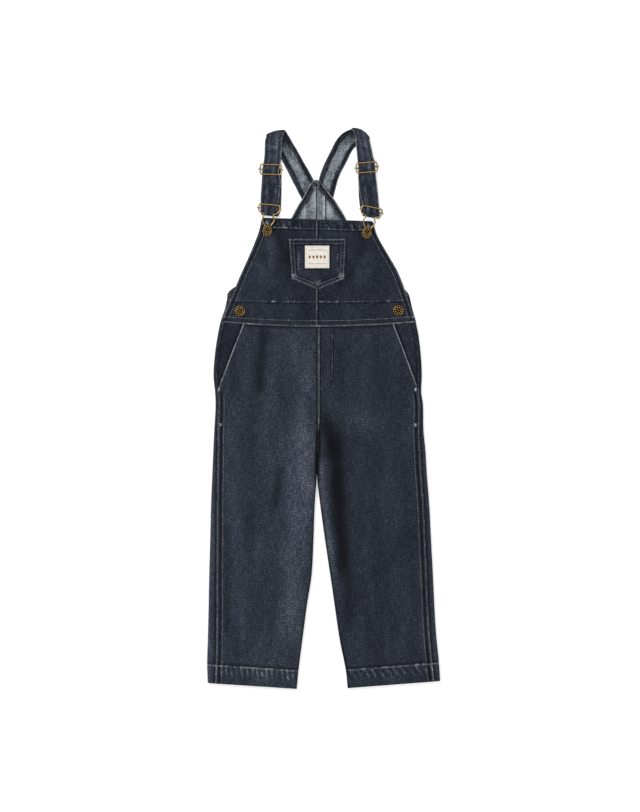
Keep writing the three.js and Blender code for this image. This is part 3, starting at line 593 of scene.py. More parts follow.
@dataclass(frozen=True)
class Fold:
    """A soft ridge or trough of the cloth, with painted shade where its tone is negative and painted
    highlight where it is positive.
    """

    points: Points
    width: float
    lift: float
    # Painted shade where negative, painted highlight where positive.
    tone: float = 0.0

    def share(self, x: Grid, y: Grid) -> Grid:
        """How strongly the fold acts at points: fully on its line, less past its ends.

        Args:
            x: Places across.
            y: Places up.

        Returns:
            Values from 0 to 1.
        """
        line = Line(self.points)
        signed, run = line.distance(x, y)
        length = sum(math.dist(a, b) for a, b in zip(self.points[:-1], self.points[1:]))
        past = np.maximum(0, np.abs(run / length - 0.5) - 0.35) * length
        wander = 1 + 0.25 * patchy(x, y, (14, 22), 7)
        return bell(signed, self.width * wander) * bell(past, self.width * 1.6)


def crease_lift(folds: Sequence[Fold], x: Grid, y: Grid) -> Grid:
    """Add up the height of folds."""
    return sum((f.lift * f.share(x, y) for f in folds), np.zeros(np.shape(x)))


def crease_painted_shading(folds: Sequence[Fold], x: Grid, y: Grid) -> Grid:
    """Add up the painted shade and highlight of folds."""
    return sum((f.tone * f.share(x, y) for f in folds), np.zeros(np.shape(x)))


def graded(total: int, fine: int, share: float) -> Grid:
    """Steps from 0 to 1 with closer spacing at both ends.

    Args:
        total: The number of steps' points.
        fine: How many of them lie in each end's part.
        share: The length of each end's part.

    Returns:
        The rising positions.
    """
    ends = np.linspace(0, share, fine, endpoint=False)
    middle = np.linspace(share, 1 - share, total - 2 * fine)
    return np.concatenate([ends, middle, 1 - ends[::-1]])


# Mesh builders


@dataclass
class Panel:
    """The outer face of a cloth piece as grids in millimetres, rows up the garment."""

    x: Grid
    y: Grid
    z: Grid
    u: Grid
    v: Grid
    wear: Grid
    shade: Grid
    cloth: Grid

    def sided(self, side: Side) -> "Panel":
        """Turn the columns over on the right side, so that the outer face looks out."""
        flipped = {name: grid[:, ::-1] for name, grid in vars(self).items()}
        return self if side is Side.LEFT else Panel(**flipped)


def ball(segments: int, rings: int) -> tuple[Grid, list[list[int]]]:
    """Make a round bead of radius 1, as points and faces."""
    shape = bmesh.new()
    bmesh.ops.create_uvsphere(shape, u_segments=segments, v_segments=rings, radius=1.0)
    return taken(shape)


def taken(shape: bmesh.types.BMesh) -> tuple[Grid, list[list[int]]]:
    """Take the points and faces out of a shape, and free it.

    Args:
        shape: The shape.

    Returns:
        Its points and faces.
    """
    shape.verts.index_update()
    points = np.array([v.co[:] for v in shape.verts])
    faces = [[v.index for v in f.verts] for f in shape.faces]
    shape.free()
    return points, faces


def dress(
    mesh: bpy.types.Mesh, materials: Sequence[Material], values: dict[str, Grid], uv: Optional[Grid]
) -> None:
    """Make a mesh smooth and give it its materials, values and cloth coordinates.

    Args:
        mesh: The mesh.
        materials: Its materials.
        values: Named values of each point.
        uv: The cloth coordinates of each point, in millimetres.
    """
    mesh.polygons.foreach_set("use_smooth", np.ones(len(mesh.polygons), dtype=bool))
    for material in materials:
        mesh.materials.append(material)
    for label, numbers in values.items():
        attribute = mesh.attributes.new(label, "FLOAT", "POINT")
        attribute.data.foreach_set("value", numbers.astype(np.float32))
    if uv is not None:
        corners = np.empty(len(mesh.loops), dtype=int)
        mesh.loops.foreach_get("vertex_index", corners)
        layer = mesh.uv_layers.new(name="cloth")
        layer.data.foreach_set("uv", uv[corners].astype(np.float32).ravel())


def finish_piece(piece: Piece, slot: Slot, nodes: Sequence[str]) -> Piece:
    """Put a piece in the scene, on its body and in place of its CAD nodes.

    Args:
        piece: The new object.
        slot: Not used.
        nodes: The CAD nodes that it stands for.

    Returns:
        The same object.
    """
    bpy.context.scene.collection.objects.link(piece)
    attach(piece, BODY)
    if nodes:
        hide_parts(*nodes)
    LOG.info("%s: %d faces", piece.name, len(piece.data.polygons))
    return piece


def cloth_piece(
    name: str, panel: Panel, materials: Sequence[Material], slot: Slot = Slot.DENIM,
    nodes: Sequence[str] = ()
) -> Piece:
    """Make a cloth piece from a grid: its outer face, thickened towards the inside.

    Args:
        name: The piece's name.
        panel: The outer face.
        materials: The right side's material and the wrong side's.
        slot: The material slot.
        nodes: The CAD nodes that it stands for.

    Returns:
        The object.
    """
    rows, columns = panel.x.shape
    shape = bmesh.new()
    bmesh.ops.create_grid(shape, x_segments=columns - 1, y_segments=rows - 1, size=0.5)
    mesh = bpy.data.meshes.new(name)
    shape.to_mesh(mesh)
    shape.free()
    spots = np.empty(len(mesh.vertices) * 3)
    mesh.vertices.foreach_get("co", spots)
    spots = spots.reshape(-1, 3)
    unit = (spots - spots.min(axis=0)) / np.maximum(np.ptp(spots, axis=0), 1e-9)
    column = np.rint(unit[:, 0] * (columns - 1)).astype(int)
    row = np.rint(unit[:, 1] * (rows - 1)).astype(int)
    place = np.stack([panel.x[row, column], panel.y[row, column], panel.z[row, column]], axis=1)
    mesh.vertices.foreach_set("co", (place * MM).ravel())
    uv = np.stack([panel.u[row, column], panel.v[row, column]], axis=1)
    values = {"wear": panel.wear[row, column], "shade": panel.shade[row, column]}
    dress(mesh, materials, values, uv)
    piece = bpy.data.objects.new(name, mesh)
    thickest = float(panel.cloth.max())
    group = piece.vertex_groups.new(name="cloth")
    share = np.round(panel.cloth[row, column] / thickest, 3)
    for value in np.unique(share):
        group.add(np.flatnonzero(share == value).tolist(), float(value), "REPLACE")
    solid = piece.modifiers.new("cloth", "SOLIDIFY")
    solid.thickness = thickest * MM
    solid.offset = -1.0
    solid.use_even_offset = True
    solid.use_quality_normals = True
    solid.vertex_group = "cloth"
    solid.material_offset = len(materials) - 1
    return finish_piece(piece, slot, nodes)


def mesh_piece(
    name: str, points: Grid, faces: Sequence[Sequence[int]], materials: Sequence[Material], slot: Slot,
    nodes: Sequence[str] = (), face_material: Optional[Grid] = None,
    values: Optional[dict[str, Grid]] = None, uv: Optional[Grid] = None
) -> Piece:
    """Make a closed smooth piece from points and faces.

    Args:
        name: The piece's name.
        points: Its points in millimetres.
        faces: Its faces as lists of point numbers.
        materials: Its materials.
        slot: The material slot.
        nodes: The CAD nodes that it stands for.
        face_material: The material's number of each face.
        values: Named values of each point.
        uv: The cloth coordinates of each point, in millimetres.

    Returns:
        The object.
    """
    mesh = bpy.data.meshes.new(name)
    mesh.from_pydata((np.asarray(points) * MM).tolist(), [], faces)
    dress(mesh, materials, values or {}, uv)
    if face_material is not None:
        mesh.polygons.foreach_set("material_index", face_material)
    shape = bmesh.new()
    shape.from_mesh(mesh)
    bmesh.ops.recalc_face_normals(shape, faces=shape.faces)
    shape.to_mesh(mesh)
    shape.free()
    return finish_piece(bpy.data.objects.new(name, mesh), slot, nodes)


def loft_faces(rings: int, sides: int, closed: bool) -> list[tuple[int, ...]]:
    """List the faces of a tube through rings of points.

    Args:
        rings: The number of rings.
        sides: The number of points in each.
        closed: Whether the last ring joins the first; otherwise both ends get a cap.

    Returns:
        The faces.
    """
    faces: list[tuple[int, ...]] = []
    for i in range(rings if closed else rings - 1):
        low, high = i * sides, ((i + 1) % rings) * sides
        faces += [(low + k, low + (k + 1) % sides, high + (k + 1) % sides, high + k) for k in range(sides)]
    if not closed:
        faces.append(tuple(range(sides - 1, -1, -1)))
        faces.append(tuple((rings - 1) * sides + k for k in range(sides)))
    return faces


def smooth_path(points: Sequence[Sequence[float]], steps: int, closed: bool) -> Grid:
    """Put a Catmull-Rom curve through points.

    Args:
        points: The points.
        steps: The curve's points for each given one.
        closed: Whether it comes back to its start.

    Returns:
        The curve's points.
    """
    knots = np.array(points, dtype=float)
    if closed:
        padded = np.concatenate([knots[-1:], knots, knots[:2]])
    else:
        ends = (2 * knots[:1] - knots[1:2], knots, 2 * knots[-1:] - knots[-2:-1])
        padded = np.concatenate(ends)
    parts = []
    t = np.linspace(0, 1, steps, endpoint=False)[:, None]
    for a, b, c, d in zip(padded[:-3], padded[1:-2], padded[2:-1], padded[3:]):
        curve = 2 * b + (c - a) * t + (2 * a - 5 * b + 4 * c - d) * t**2
        parts.append(0.5 * (curve + (3 * b - a - 3 * c + d) * t**3))
    if not closed:
        parts.append(knots[-1:])
    return np.concatenate(parts)


def wire_rings(path: Grid, radius: float, sides: int, closed: bool) -> Grid:
    """Put rings of points round a path that lies mostly level.

    Args:
        path: The path's points.
        radius: The wire's radius.
        sides: The number of points in a ring.
        closed: Whether the path comes back to its start.

    Returns:
        The rings' points, one ring after another.
    """
    if closed:
        tangent = np.roll(path, -1, axis=0) - np.roll(path, 1, axis=0)
    else:
        tangent = np.gradient(path, axis=0)
    tangent /= np.linalg.norm(tangent, axis=1)[:, None]
    aside = np.cross(tangent, (0.0, 0.0, 1.0))
    aside /= np.linalg.norm(aside, axis=1)[:, None]
    above = np.cross(aside, tangent)
    angle = 2 * math.pi * np.arange(sides) / sides
    ring = np.cos(angle)[None, :, None] * aside[:, None] + np.sin(angle)[None, :, None] * above[:, None]
    return (path[:, None] + radius * ring).reshape(-1, 3)


@dataclass
class Body:
    """Points and faces gathered into one piece, with how rubbed each point is."""

    points: list[Grid] = field(default_factory=list)
    faces: list[tuple[int, ...]] = field(default_factory=list)
    rub: list[Grid] = field(default_factory=list)
    count: int = 0

    def add(self, points: Grid, faces: Sequence[Sequence[int]], rub: Grid) -> None:
        """Add a closed part.

        Args:
            points: Its points in millimetres.
            faces: Its faces.
            rub: How rubbed each point is, from 0 to 1.
        """
        self.points.append(points)
        self.faces += [tuple(self.count + k for k in face) for face in faces]
        self.rub.append(rub)
        self.count += len(points)

    def wire(self, path: Grid, radius: float, closed: bool, sides: int = 14) -> None:
        """Add a round wire.

        Args:
            path: Its centreline in millimetres.
            radius: Its radius.
            closed: Whether it comes back to its start.
            sides: The number of points round it.
        """
        points = wire_rings(path, radius, sides, closed)
        centre = np.repeat(path[:, 2], sides)
        rub = np.clip((points[:, 2] - centre) / radius, 0, 1) ** 2
        self.add(points, loft_faces(len(path), sides, closed), rub)

    def place(self, x: float, y: float, turn: float) -> None:
        """Turn the gathered parts about the vertical and move them.

        Args:
            x: Their new place across.
            y: Their new place up the page.
            turn: The angle in degrees.
        """
        c, s = math.cos(math.radians(turn)), math.sin(math.radians(turn))
        spin = np.array([[c, s, 0], [-s, c, 0], [0, 0, 1]])
        self.points = [part @ spin + (x, y, 0.0) for part in self.points]

    def piece(self, name: str, material: Material, nodes: Sequence[str] = ()) -> Piece:
        """Make the gathered parts one object.

        Args:
            name: Its name.
            material: Its material.
            nodes: The CAD nodes that it stands for.

        Returns:
            The object.
        """
        points, rub = np.concatenate(self.points), np.concatenate(self.rub)
        return mesh_piece(name, points, self.faces, [material], Slot.BRASS, nodes, values={"rub": rub})


class Stitching:
    """Gathers stitches and makes them one piece."""

    def __init__(self, length: float = 2.5, gap: float = 0.8, radius: float = 0.3) -> None:
        """Set the stitch's size and make its shape.

        Args:
            length: How long a stitch is, in millimetres.
            gap: The space to the next.
            radius: The thread's radius.
        """
        self.length, self.gap, self.radius = length, gap, radius
        self.frames: list[Grid] = []
        self.bead, self.bead_faces = ball(6, 4)

    def sew(
        self, points: Points, surface: Callable[[Grid, Grid], Grid],
        up: tuple[float, float, float] = (0.0, 0.0, 1.0), sink: float = 0.05
    ) -> None:
        """Sew one run of stitches along a line on a surface.

        Args:
            points: The line's points on the page.
            surface: The surface's height at places on the page.
            up: The direction that the surface faces.
            sink: How deep the thread lies in the cloth.
        """
        corners = np.array(points, dtype=float)
        steps = np.linalg.norm(np.diff(corners, axis=0), axis=1)
        total = np.concatenate([[0.0], np.cumsum(steps)])
        starts = np.arange(0, total[-1] - self.length, self.length + self.gap)
        ends = []
        for reach in (starts, starts + self.length):
            x = np.interp(reach, total, corners[:, 0])
            y = np.interp(reach, total, corners[:, 1])
            ends.append(np.stack([x, y, surface(x, y)], axis=1))
        self.pairs(ends[0], ends[1], up, sink)

    def pairs(self, start: Grid, end: Grid, up: object = (0.0, 0.0, 1.0), sink: object = 0.05) -> None:
        """Add stitches between pairs of points.

        Args:
            start: Where the stitches begin.
            end: Where they end.
            up: The direction that the surface faces, one or one for each.
            sink: How deep the thread lies in the cloth, one or one for each.
        """
        reach = (end - start) / 2
        half = np.linalg.norm(reach, axis=1)[:, None]
        along = reach / np.maximum(half, 1e-6)
        aside = np.cross(along, up)
        aside /= np.maximum(np.linalg.norm(aside, axis=1)[:, None], 1e-6)
        above = np.cross(aside, along)
        centre = (start + end) / 2 + above * (self.radius - sink)
        bead = self.bead
        verts = (
            centre[:, None]
            + (along * half)[:, None] * bead[None, :, 2:3]
            + (aside * self.radius)[:, None] * bead[None, :, 0:1]
            + (above * self.radius)[:, None] * bead[None, :, 1:2]
        )
        self.frames.append(verts)

    def piece(self, name: str, material: Material, slot: Slot = Slot.DENIM) -> Piece:
        """Make all the stitches one object.

        Args:
            name: Its name.
            material: The thread's material.
            slot: The material slot.

        Returns:
            The object.
        """
        verts = np.concatenate(self.frames)
        size = len(self.bead)
        faces = [[n * size + k for k in face] for n in range(len(verts)) for face in self.bead_faces]
        return mesh_piece(name, verts.reshape(-1, 3), faces, [material], slot)


# The garment's form, with the numbers of part.mjs


@dataclass(frozen=True)
class Form:
    """Sizes that several pieces share, in millimetres."""

    cloth: float = 1.2
    hem_cloth: float = 2.4
    trim_cloth: float = 1.0
    strap_cloth: float = 2.0
    gap: float = 0.3
    leg_height: float = 5.8
    fade_width: float = 16.0
    hem_depth: float = 27.0
    bib_hem_depth: float = 13.0
    leg_seam_x: float = -8.0
    bib_seam_x: float = -9.7
    back_seam_x: float = -9.0
    rise_end_y: float = -30.0
    waist_y: float = 119.0
    waist_lift: float = 6.2
    waist_half: float = 141.0
    back_lift: float = 2.3
    pocket_end_y: float = 27.0
    bib_top_y: float = 274.0
    bib_top_slope: float = -0.031

    @property
    def fold(self) -> float:
        """Outside radius of a folded leg edge."""
        return self.leg_height / 2

    def waist(self, x: object) -> Grid:
        """Height of the waist seam on the page."""
        return self.waist_y + self.waist_lift * ((np.asarray(x) - self.leg_seam_x) / self.waist_half) ** 2

    def bib_top(self, x: object) -> Grid:
        """Height of the bib's top edge on the page."""
        return self.bib_top_y + self.bib_top_slope * (np.asarray(x) - self.bib_seam_x)


FORM = Form()

# Sections of the legs, hem first: y, outer fold, inner fold, side seam's distance from the outer fold.
LEG_ROWS = {
    Side.LEFT: [
        (-402, -168.6, -39.4, 10.6),
        (-374, -169.4, -36.8, 12.4),
        (-330, -168.2, -31.0, 12.0),
        (-285, -167.2, -24.8, 11.2),
        (-241, -166.4, -17.9, 10.4),
        (-190, -165.0, -15.2, 9.4),
        (-140, -163.8, -13.4, 8.2),
        (-96, -162.0, -10.4, 7.0),
        (-60, -160.4, -9.24, 5.9),
        (-30, -159.0, -8.3, 4.6),
        (5, -157.2, -8.2, 3.6),
        (24, -158.0, -8.2, 3.6),
        (48, -160.2, -8.2, 3.6),
        (75, -158.2, -8.2, 3.6),
        (100, -154.2, -8.2, 3.6),
        (119, -150.3, -8.2, 3.6),
    ],
    Side.RIGHT: [
        (-400, 168.4, 34.2, 8.4),
        (-374, 166.8, 31.6, 9.6),
        (-330, 162.6, 22.6, 9.2),
        (-285, 160.0, 15.5, 8.9),
        (-241, 158.0, 9.0, 8.6),
        (-190, 155.2, 1.4, 8.2),
        (-140, 152.7, -5.4, 7.8),
        (-96, 149.2, -10.2, 7.5),
        (-60, 147.0, -9.2, 7.2),
        (-30, 144.2, -8.2, 5.4),
        (5, 143.6, -7.8, 4.0),
        (24, 141.0, -7.8, 3.6),
        (48, 141.8, -7.8, 3.6),
        (75, 140.2, -7.8, 3.6),
        (100, 137.0, -7.8, 3.6),
        (119, 133.2, -7.8, 3.6),
    ],
}

# Folds that the solids have too: points, width, lift and tone, which is painted shade where negative and
# painted highlight where positive.
MAIN_FOLDS = [
    Fold([(-87, 117), (-94, 20)], 7, -1.0, -0.24),
    Fold([(-46, 96), (-22, 30)], 14, 0.8, 0.09),
    Fold([(-27, -20), (-31, -200)], 12, 1.2, 0.07),
    Fold([(-61, -86), (-74, -145)], 7, -0.6, -0.16),
    Fold([(-93, -186), (-97, -252)], 6, 0.5, 0.06),
    Fold([(-117, -262), (-119, -335)], 7, 0.5, 0.05),
    Fold([(2, -14), (15, -69)], 8, -1.2, -0.3),
    Fold([(15, -69), (30, -255)], 8, -1.4, -0.24),
    Fold([(64, 110), (47, 78)], 6, 0.6, 0.05),
    Fold([(24, 92), (19, 32)], 6, -0.5, -0.08),
    Fold([(14, 2), (76, -24)], 12, 0.7, 0.05),
    Fold([(124, -178), (82, -238)], 10, -0.6, -0.07),
    Fold([(-71, 262), (-52, 210)], 6, -0.6, -0.12),
    Fold([(-77, 250), (-75, 190)], 7, 0.6, 0.09),
    Fold([(61, 244), (38, 190)], 7, -0.6, -0.12),
    Fold([(68, 225), (44, 200)], 7, 0.5, 0.06),
]

# Finer folds that only the cloth of the scene has; their tone is painted shade and highlight too, and those
# with no lift are painted light alone.
FINE_FOLDS = [
    Fold([(-45, 20), (-43, -120), (-37, -200), (-45, -300), (-52, -376)], 17, 0.3, 0.11),
    Fold([(-36, 22), (-32, -130)], 11, 0.0, 0.08),
    Fold([(-34, 22), (-25, -36)], 9, 0.0, 0.05),
    Fold([(-128, -140), (-124, -330)], 12, 0.0, 0.05),
    Fold([(-82, -330), (-84, -380)], 16, 0.0, 0.06),
    Fold([(-90, 236), (-98, 156)], 20, 0.0, 0.07),
    Fold([(-128, 92), (-131, 20)], 9, 0.0, -0.1),
    Fold([(16, -34), (24, -110)], 9, 0.0, -0.17),
    Fold([(31, -236), (38, -310)], 10, 0.0, -0.13),
    Fold([(140, -200), (146, -370)], 8, 0.0, 0.08),
    Fold([(8, -20), (20, -100), (27, -160), (32, -250)], 11, -0.2, -0.2),
    Fold([(92, 10), (96, -160)], 16, 0.2, 0.07),
    Fold([(24, 240), (22, 130)], 12, 0.0, -0.08),
    Fold([(-98, 10), (-106, -60)], 14, 0.0, -0.06),
    Fold([(-12, -34), (-40, -52), (-70, -58)], 6, 0.3, -0.02),
    Fold([(-14, -44), (-38, -66), (-60, -80)], 5, -0.4, -0.06),
    Fold([(-140, -150), (-141, -346)], 5, -0.5, -0.13),
    Fold([(-120, 60), (-100, 10), (-92, -40)], 9, 0.4, 0.05),
    Fold([(-64, 60), (-58, 10), (-64, -50)], 8, -0.35, -0.04),
    Fold([(-110, -60), (-100, -130), (-112, -190)], 9, -0.3, -0.04),
    Fold([(-60, -180), (-52, -250), (-60, -330)], 8, 0.35, 0.05),
    Fold([(-140, -40), (-128, -70), (-104, -86)], 6, 0.35, 0.04),
    Fold([(6, -30), (40, -50), (70, -54)], 6, -0.45, -0.05),
    Fold([(56, 70), (70, 20), (66, -40)], 9, 0.4, 0.04),
    Fold([(96, 30), (104, -30), (96, -100)], 9, -0.35, -0.04),
    Fold([(60, -90), (70, -150), (60, -230)], 9, 0.4, 0.05),
    Fold([(110, -240), (120, -300), (112, -350)], 8, 0.35, 0.04),
    Fold([(60, -270), (70, -320), (76, -360)], 8, -0.35, -0.04),
    Fold([(-104, 216), (-84, 190), (-60, 180)], 5, 0.3, 0.04),
    Fold([(80, 214), (60, 196), (44, 176)], 5, 0.3, 0.04),
    Fold([(-120, 170), (-90, 172), (-58, 164)], 5, -0.25, -0.04),
    Fold([(100, 168), (70, 170), (40, 164)], 5, -0.25, -0.04),
]


class Leg:
    """One leg up to the waist: front and back panels, hip panel and sewing; the right one has the fly."""

    @dataclass(frozen=True)
    class Sizes:
        """Sizes of a leg in millimetres, and its tone, which is partly the wash and partly painted light: the
        left leg is lighter, as if lit from the left.
        """

        hem_slope: float
        pocket_line: tuple[float, float]
        tone: float
        roping: tuple[float, float]
        seam_groove: float = 5.2
        seam_stitch: float = 8.8
        row_step: float = 2.0
        hem_step: float = 1.1
        flat_columns: int = 84
        fine_columns: int = 15
        fine_share: float = 0.09
        curl_columns: int = 8
        fly_left: float = -4.6
        fly_right: float = 14.1
        fly_top: float = 116.5
        fly_turn: float = 55.0
        fly_bottom: float = 25.0

    SIZES = {
        Side.LEFT: Sizes(-0.066, (-117.6, -154.2), 0.02, (7.4, 0.15)),
        Side.RIGHT: Sizes(0.076, (101.4, 137.0), -0.035, (10.5, 0.7)),
    }

    def __init__(self, side: Side, finishes: Finishes) -> None:
        """Read the leg's sizes and its table of sections.

        Args:
            side: The leg's side.
            finishes: The materials.
        """
        self.side, self.finishes, self.size = side, finishes, self.SIZES[side]
        self.first = LEG_ROWS[side][0]
        self.outer, self.inner, self.seam = tracks(LEG_ROWS[side])

    def hem_y(self, x: object) -> Grid:
        """Height of the hem's edge on the page."""
        first = self.first
        return first[0] + self.size.hem_slope * (np.asarray(x) - (first[1] + first[2]) / 2)

    def page_y(self, y: Grid, x: Grid) -> Grid:
        """Move a nominal height so that hem and waist follow their own lines."""
        hem = (self.hem_y(x) - self.first[0]) * (1 - ramp(y, -380, -250))
        return y + hem + (FORM.waist(x) - FORM.waist_y) * ramp(y, 30, FORM.waist_y)

    def start(self, y: object) -> Grid:
        """Find where the front panel begins: the side seam, or the pocket's slanted edge.

        Args:
            y: Nominal height.

        Returns:
            The place across.
        """
        y = np.asarray(y, dtype=float)
        seam = self.outer(y) + self.side.value * (self.seam(y) + FORM.gap)
        waist, low = self.size.pocket_line
        t = (y - FORM.pocket_end_y) / (FORM.waist_y - FORM.pocket_end_y)
        return np.where(t <= 0, seam, low + (waist - low) * t)

    def rope(self, x: Grid, y: Grid) -> Grid:
        """The slanted waves that washing leaves in the hem.

        Args:
            x: Place across.
            y: Place up the page.

        Returns:
            Values from -1 to 1.
        """
        pitch, slant = self.size.roping
        along = x + slant * (y - self.hem_y(x))
        return np.sin(2 * math.pi * along / pitch + 2.2 * patchy(x, y, (26, 40), 14))

    def pucker(self, x: Grid, y: Grid) -> Grid:
        """The waves that sewing leaves along the side seam, from -1 to 1."""
        return np.sin(2 * math.pi * y / 7.6 + 2.4 * patchy(x, y, (30, 12), 13))

    def surface(self, x: Grid, y: Grid) -> Grid:
        """Height of the front's outside.

        Args:
            x: Place across.
            y: Place up the page.

        Returns:
            The height in millimetres.
        """
        x, y = np.asarray(x, dtype=float), np.asarray(y, dtype=float)
        from_outer = np.abs(x - self.outer(y))
        from_inner = np.where(y < FORM.rise_end_y, np.abs(self.inner(y) - x), FORM.fade_width)
        fade = ramp(np.minimum(from_outer, from_inner), 0, FORM.fade_width)
        above_hem = y - self.hem_y(x)
        still = fade * ramp(above_hem, 10, 60)
        loose = crease_lift(MAIN_FOLDS, x, y) + crease_lift(FINE_FOLDS, x, y)
        loose = loose + 0.28 * patchy(x, y, (24, 60), 11) + 0.12 * patchy(x, y, (8, 17), 12)
        edge = np.abs(x - self.start(y))
        below = 1 - ramp(y, FORM.pocket_end_y - 6, FORM.pocket_end_y)
        felled = 0.3 * (1 - ramp(edge, 7.8, 10.4)) - 0.45 * bell(edge - self.size.seam_groove, 1.1) * below
        felled += 0.14 * self.pucker(x, y) * bell(edge - 6, 4)
        centre = np.abs(x - FORM.leg_seam_x)
        rise = ramp(y, FORM.rise_end_y, FORM.rise_end_y + 14)
        middle = rise * (0.3 * (1 - ramp(centre, 5.2, 7.4)) - 0.25 * bell(centre - 4.6, 0.9))
        waist = 0.25 * (1 - ramp(FORM.waist(x) - y, 2, 5))
        rope = self.rope(x, y)
        in_hem = ramp(above_hem, 4, 13) * (1 - ramp(above_hem, 24.5, 27.5))
        hem = 0.3 * (1 - ramp(above_hem, 26.4, 28.6)) - 0.25 * bell(above_hem - 25.2, 0.9)
        hem = hem + (0.3 * rope * in_hem + 0.16 * rope * bell(above_hem - 30, 4)) * fade
        return FORM.leg_height + loose * still + (felled + middle + waist + hem) * ramp(from_outer, 0, 3)

    def paint(self, x: Grid, y: Grid) -> tuple[Grid, Grid]:
        """Work out wear and tone on the front; the tone holds painted shade and highlight.

        Args:
            x: Place across.
            y: Place up the page.

        Returns:
            Wear from 0 to 1, and tone with painted shade and highlight.
        """
        edge = np.abs(x - self.start(y))
        below = 1 - ramp(y, FORM.pocket_end_y - 6, FORM.pocket_end_y)
        above_hem = y - self.hem_y(x)
        uneven = 0.78 + 0.3 * patchy(x, y, (3, 6), 21)
        centre = np.abs(x - FORM.leg_seam_x)
        rise = ramp(y, FORM.rise_end_y - 4, FORM.rise_end_y + 6)
        rope = self.rope(x, y)
        in_hem = ramp(above_hem, 8, 15) * (1 - ramp(above_hem, 25, 28))
        wear = (0.75 - 0.3 * below) * bell(edge - 0.2, 0.65)
        wear += 0.1 * bell(edge - self.size.seam_stitch, 0.8)
        wear += 0.55 * bell(above_hem - 26.4, 0.7) * (0.7 + patchy(x, y, (5, 40), 27))
        wear = wear + 0.25 * bell(above_hem, 0.8) + rise * 0.55 * bell(centre - 0.3, 0.45)
        dashes = np.clip(rope + 0.4 * patchy(x, y, (2.5, 5), 28), 0, 1)
        roped = 0.38 if self.side is Side.LEFT else 0.3
        wear += roped * in_hem * dashes * (0.8 + 0.5 * patchy(x, y, (9, 30), 29))
        if self.side is Side.RIGHT:
            patch = bell(x - 135, 12) * bell(above_hem - 27.5, 2.4)
            wear += 0.45 * patch * (0.6 + 0.4 * patchy(x, y, (2, 2), 30))
        # Tone: the folds' painted shading, the leg's partly painted tone and random patches.
        shade = crease_painted_shading(MAIN_FOLDS, x, y) + crease_painted_shading(FINE_FOLDS, x, y)
        shade = shade + self.size.tone + 0.04 * patchy(x, y, (26, 150), 22)
        shade += 0.04 * patchy(x, y, (7, 40), 25)
        # Painted shade in the side seam's groove, above the hem's step, beside the centre seam, in the
        # roping's troughs and under the waist seam.
        shade -= 0.42 * below * bell(edge - self.size.seam_groove, 1.3)
        shade = shade - 0.25 * bell(above_hem - 29.0, 1.6) - 0.3 * rise * bell(centre - 2.4, 1.2)
        shade = shade - 0.2 * in_hem * np.clip(-rope, 0, 1) - 0.25 * bell(FORM.waist(x) - y - 2.0, 1.8)
        shade += 0.1 * bell(above_hem - 18, 9)
        # Painted shade along the inner fold's edge, and painted highlight on the inner side of each leg.
        inner = np.abs(x - self.inner(y))
        shade -= 0.3 * (1 - ramp(y, -50, -30)) * bell(inner, 1.8)
        if self.side is Side.LEFT:
            shade += 0.12 * bell(inner - 8, 8) * ramp(y, -190, -120) * (1 - ramp(y, -50, -20))
        else:
            shade += 0.24 * bell(inner - 6, 6) * ramp(y, -300, -190) * (1 - ramp(y, -88, -64))
        # Painted shadow in the gap between the legs.
        between = ramp(y, -112, -84) * (1 - ramp(y, -36, -28))
        shade -= 1.2 * between * bell(inner, 2.6)
        return np.clip(wear * uneven, 0, 1), shade

    def rows(self) -> Grid:
        """List the nominal heights of a leg's rows.

        Returns:
            The rising heights.
        """
        base = self.first[0]
        hem = np.arange(base, base + 34, self.size.hem_step)
        leg = np.arange(base + 34, FORM.waist_y - 8, self.size.row_step)
        waist = np.linspace(FORM.waist_y - 8, FORM.waist_y, 8)
        return np.concatenate([hem, leg, waist])

    def thickness(self, y: Grid) -> Grid:
        """The cloth's thickness, doubled in the hem."""
        doubled = y < self.first[0] + FORM.hem_depth
        return np.where(doubled, FORM.hem_cloth, FORM.cloth)

    def front(self) -> Panel:
        """Shape the front of a leg, turned under at its inner fold.

        Returns:
            The panel.
        """
        s, inward = self.size, self.side.value
        y = self.rows()[:, None]
        sewn, folded = math.radians(34), math.radians(172)
        curl = folded + (sewn - folded) * ramp(y, FORM.rise_end_y - 28, FORM.rise_end_y)
        start = self.start(y)
        end = self.inner(y) - inward * FORM.fold * np.sin(np.minimum(curl, math.pi / 2))
        share = graded(s.flat_columns, s.fine_columns, s.fine_share)[None, :]
        flat_x = start + (end - start) * share
        flat_y = self.page_y(y, flat_x)
        flat_z = self.surface(flat_x, flat_y)
        angle = curl * np.arange(1, s.curl_columns + 1)[None, :] / s.curl_columns
        top = flat_z[:, -1:] - FORM.fold
        radius = FORM.fold + (top - FORM.fold) * (1 - angle / math.pi)
        curl_x = end + inward * FORM.fold * np.sin(angle)
        curl_y = self.page_y(y, curl_x)
        curl_z = FORM.fold + radius * np.cos(angle)
        x = np.hstack([flat_x, curl_x])
        page = np.hstack([flat_y, curl_y])
        z = np.hstack([flat_z, curl_z])
        wear, shade = self.paint(x, page)
        u = np.hstack([flat_x * inward, end * inward + FORM.fold * angle])
        cloth = self.thickness(y) + 0 * x
        return Panel(x, page, z, u + 600 * (inward + 2), page, wear, shade, cloth).sided(self.side)

    def underside(self, x: Grid, y: Grid) -> Grid:
        """Height of the back panel's outside, which lies on the surface in most places.

        Args:
            x: Place across.
            y: Place up the page.

        Returns:
            The height in millimetres.
        """
        x, y = np.asarray(x, dtype=float), np.asarray(y, dtype=float)
        hollow = 0.7 * np.clip(patchy(x, y, (16, 70), 31), 0, 1) ** 2
        hollow = hollow + 0.5 * np.clip(patchy(x, y, (34, 20), 32), 0, 1) ** 2
        hollow = hollow * ramp(np.abs(x - self.outer(y)), 8, 24)
        above_hem = y - self.hem_y(x)
        return hollow * ramp(above_hem, 6, 40) + self.back_grooves(x, y)

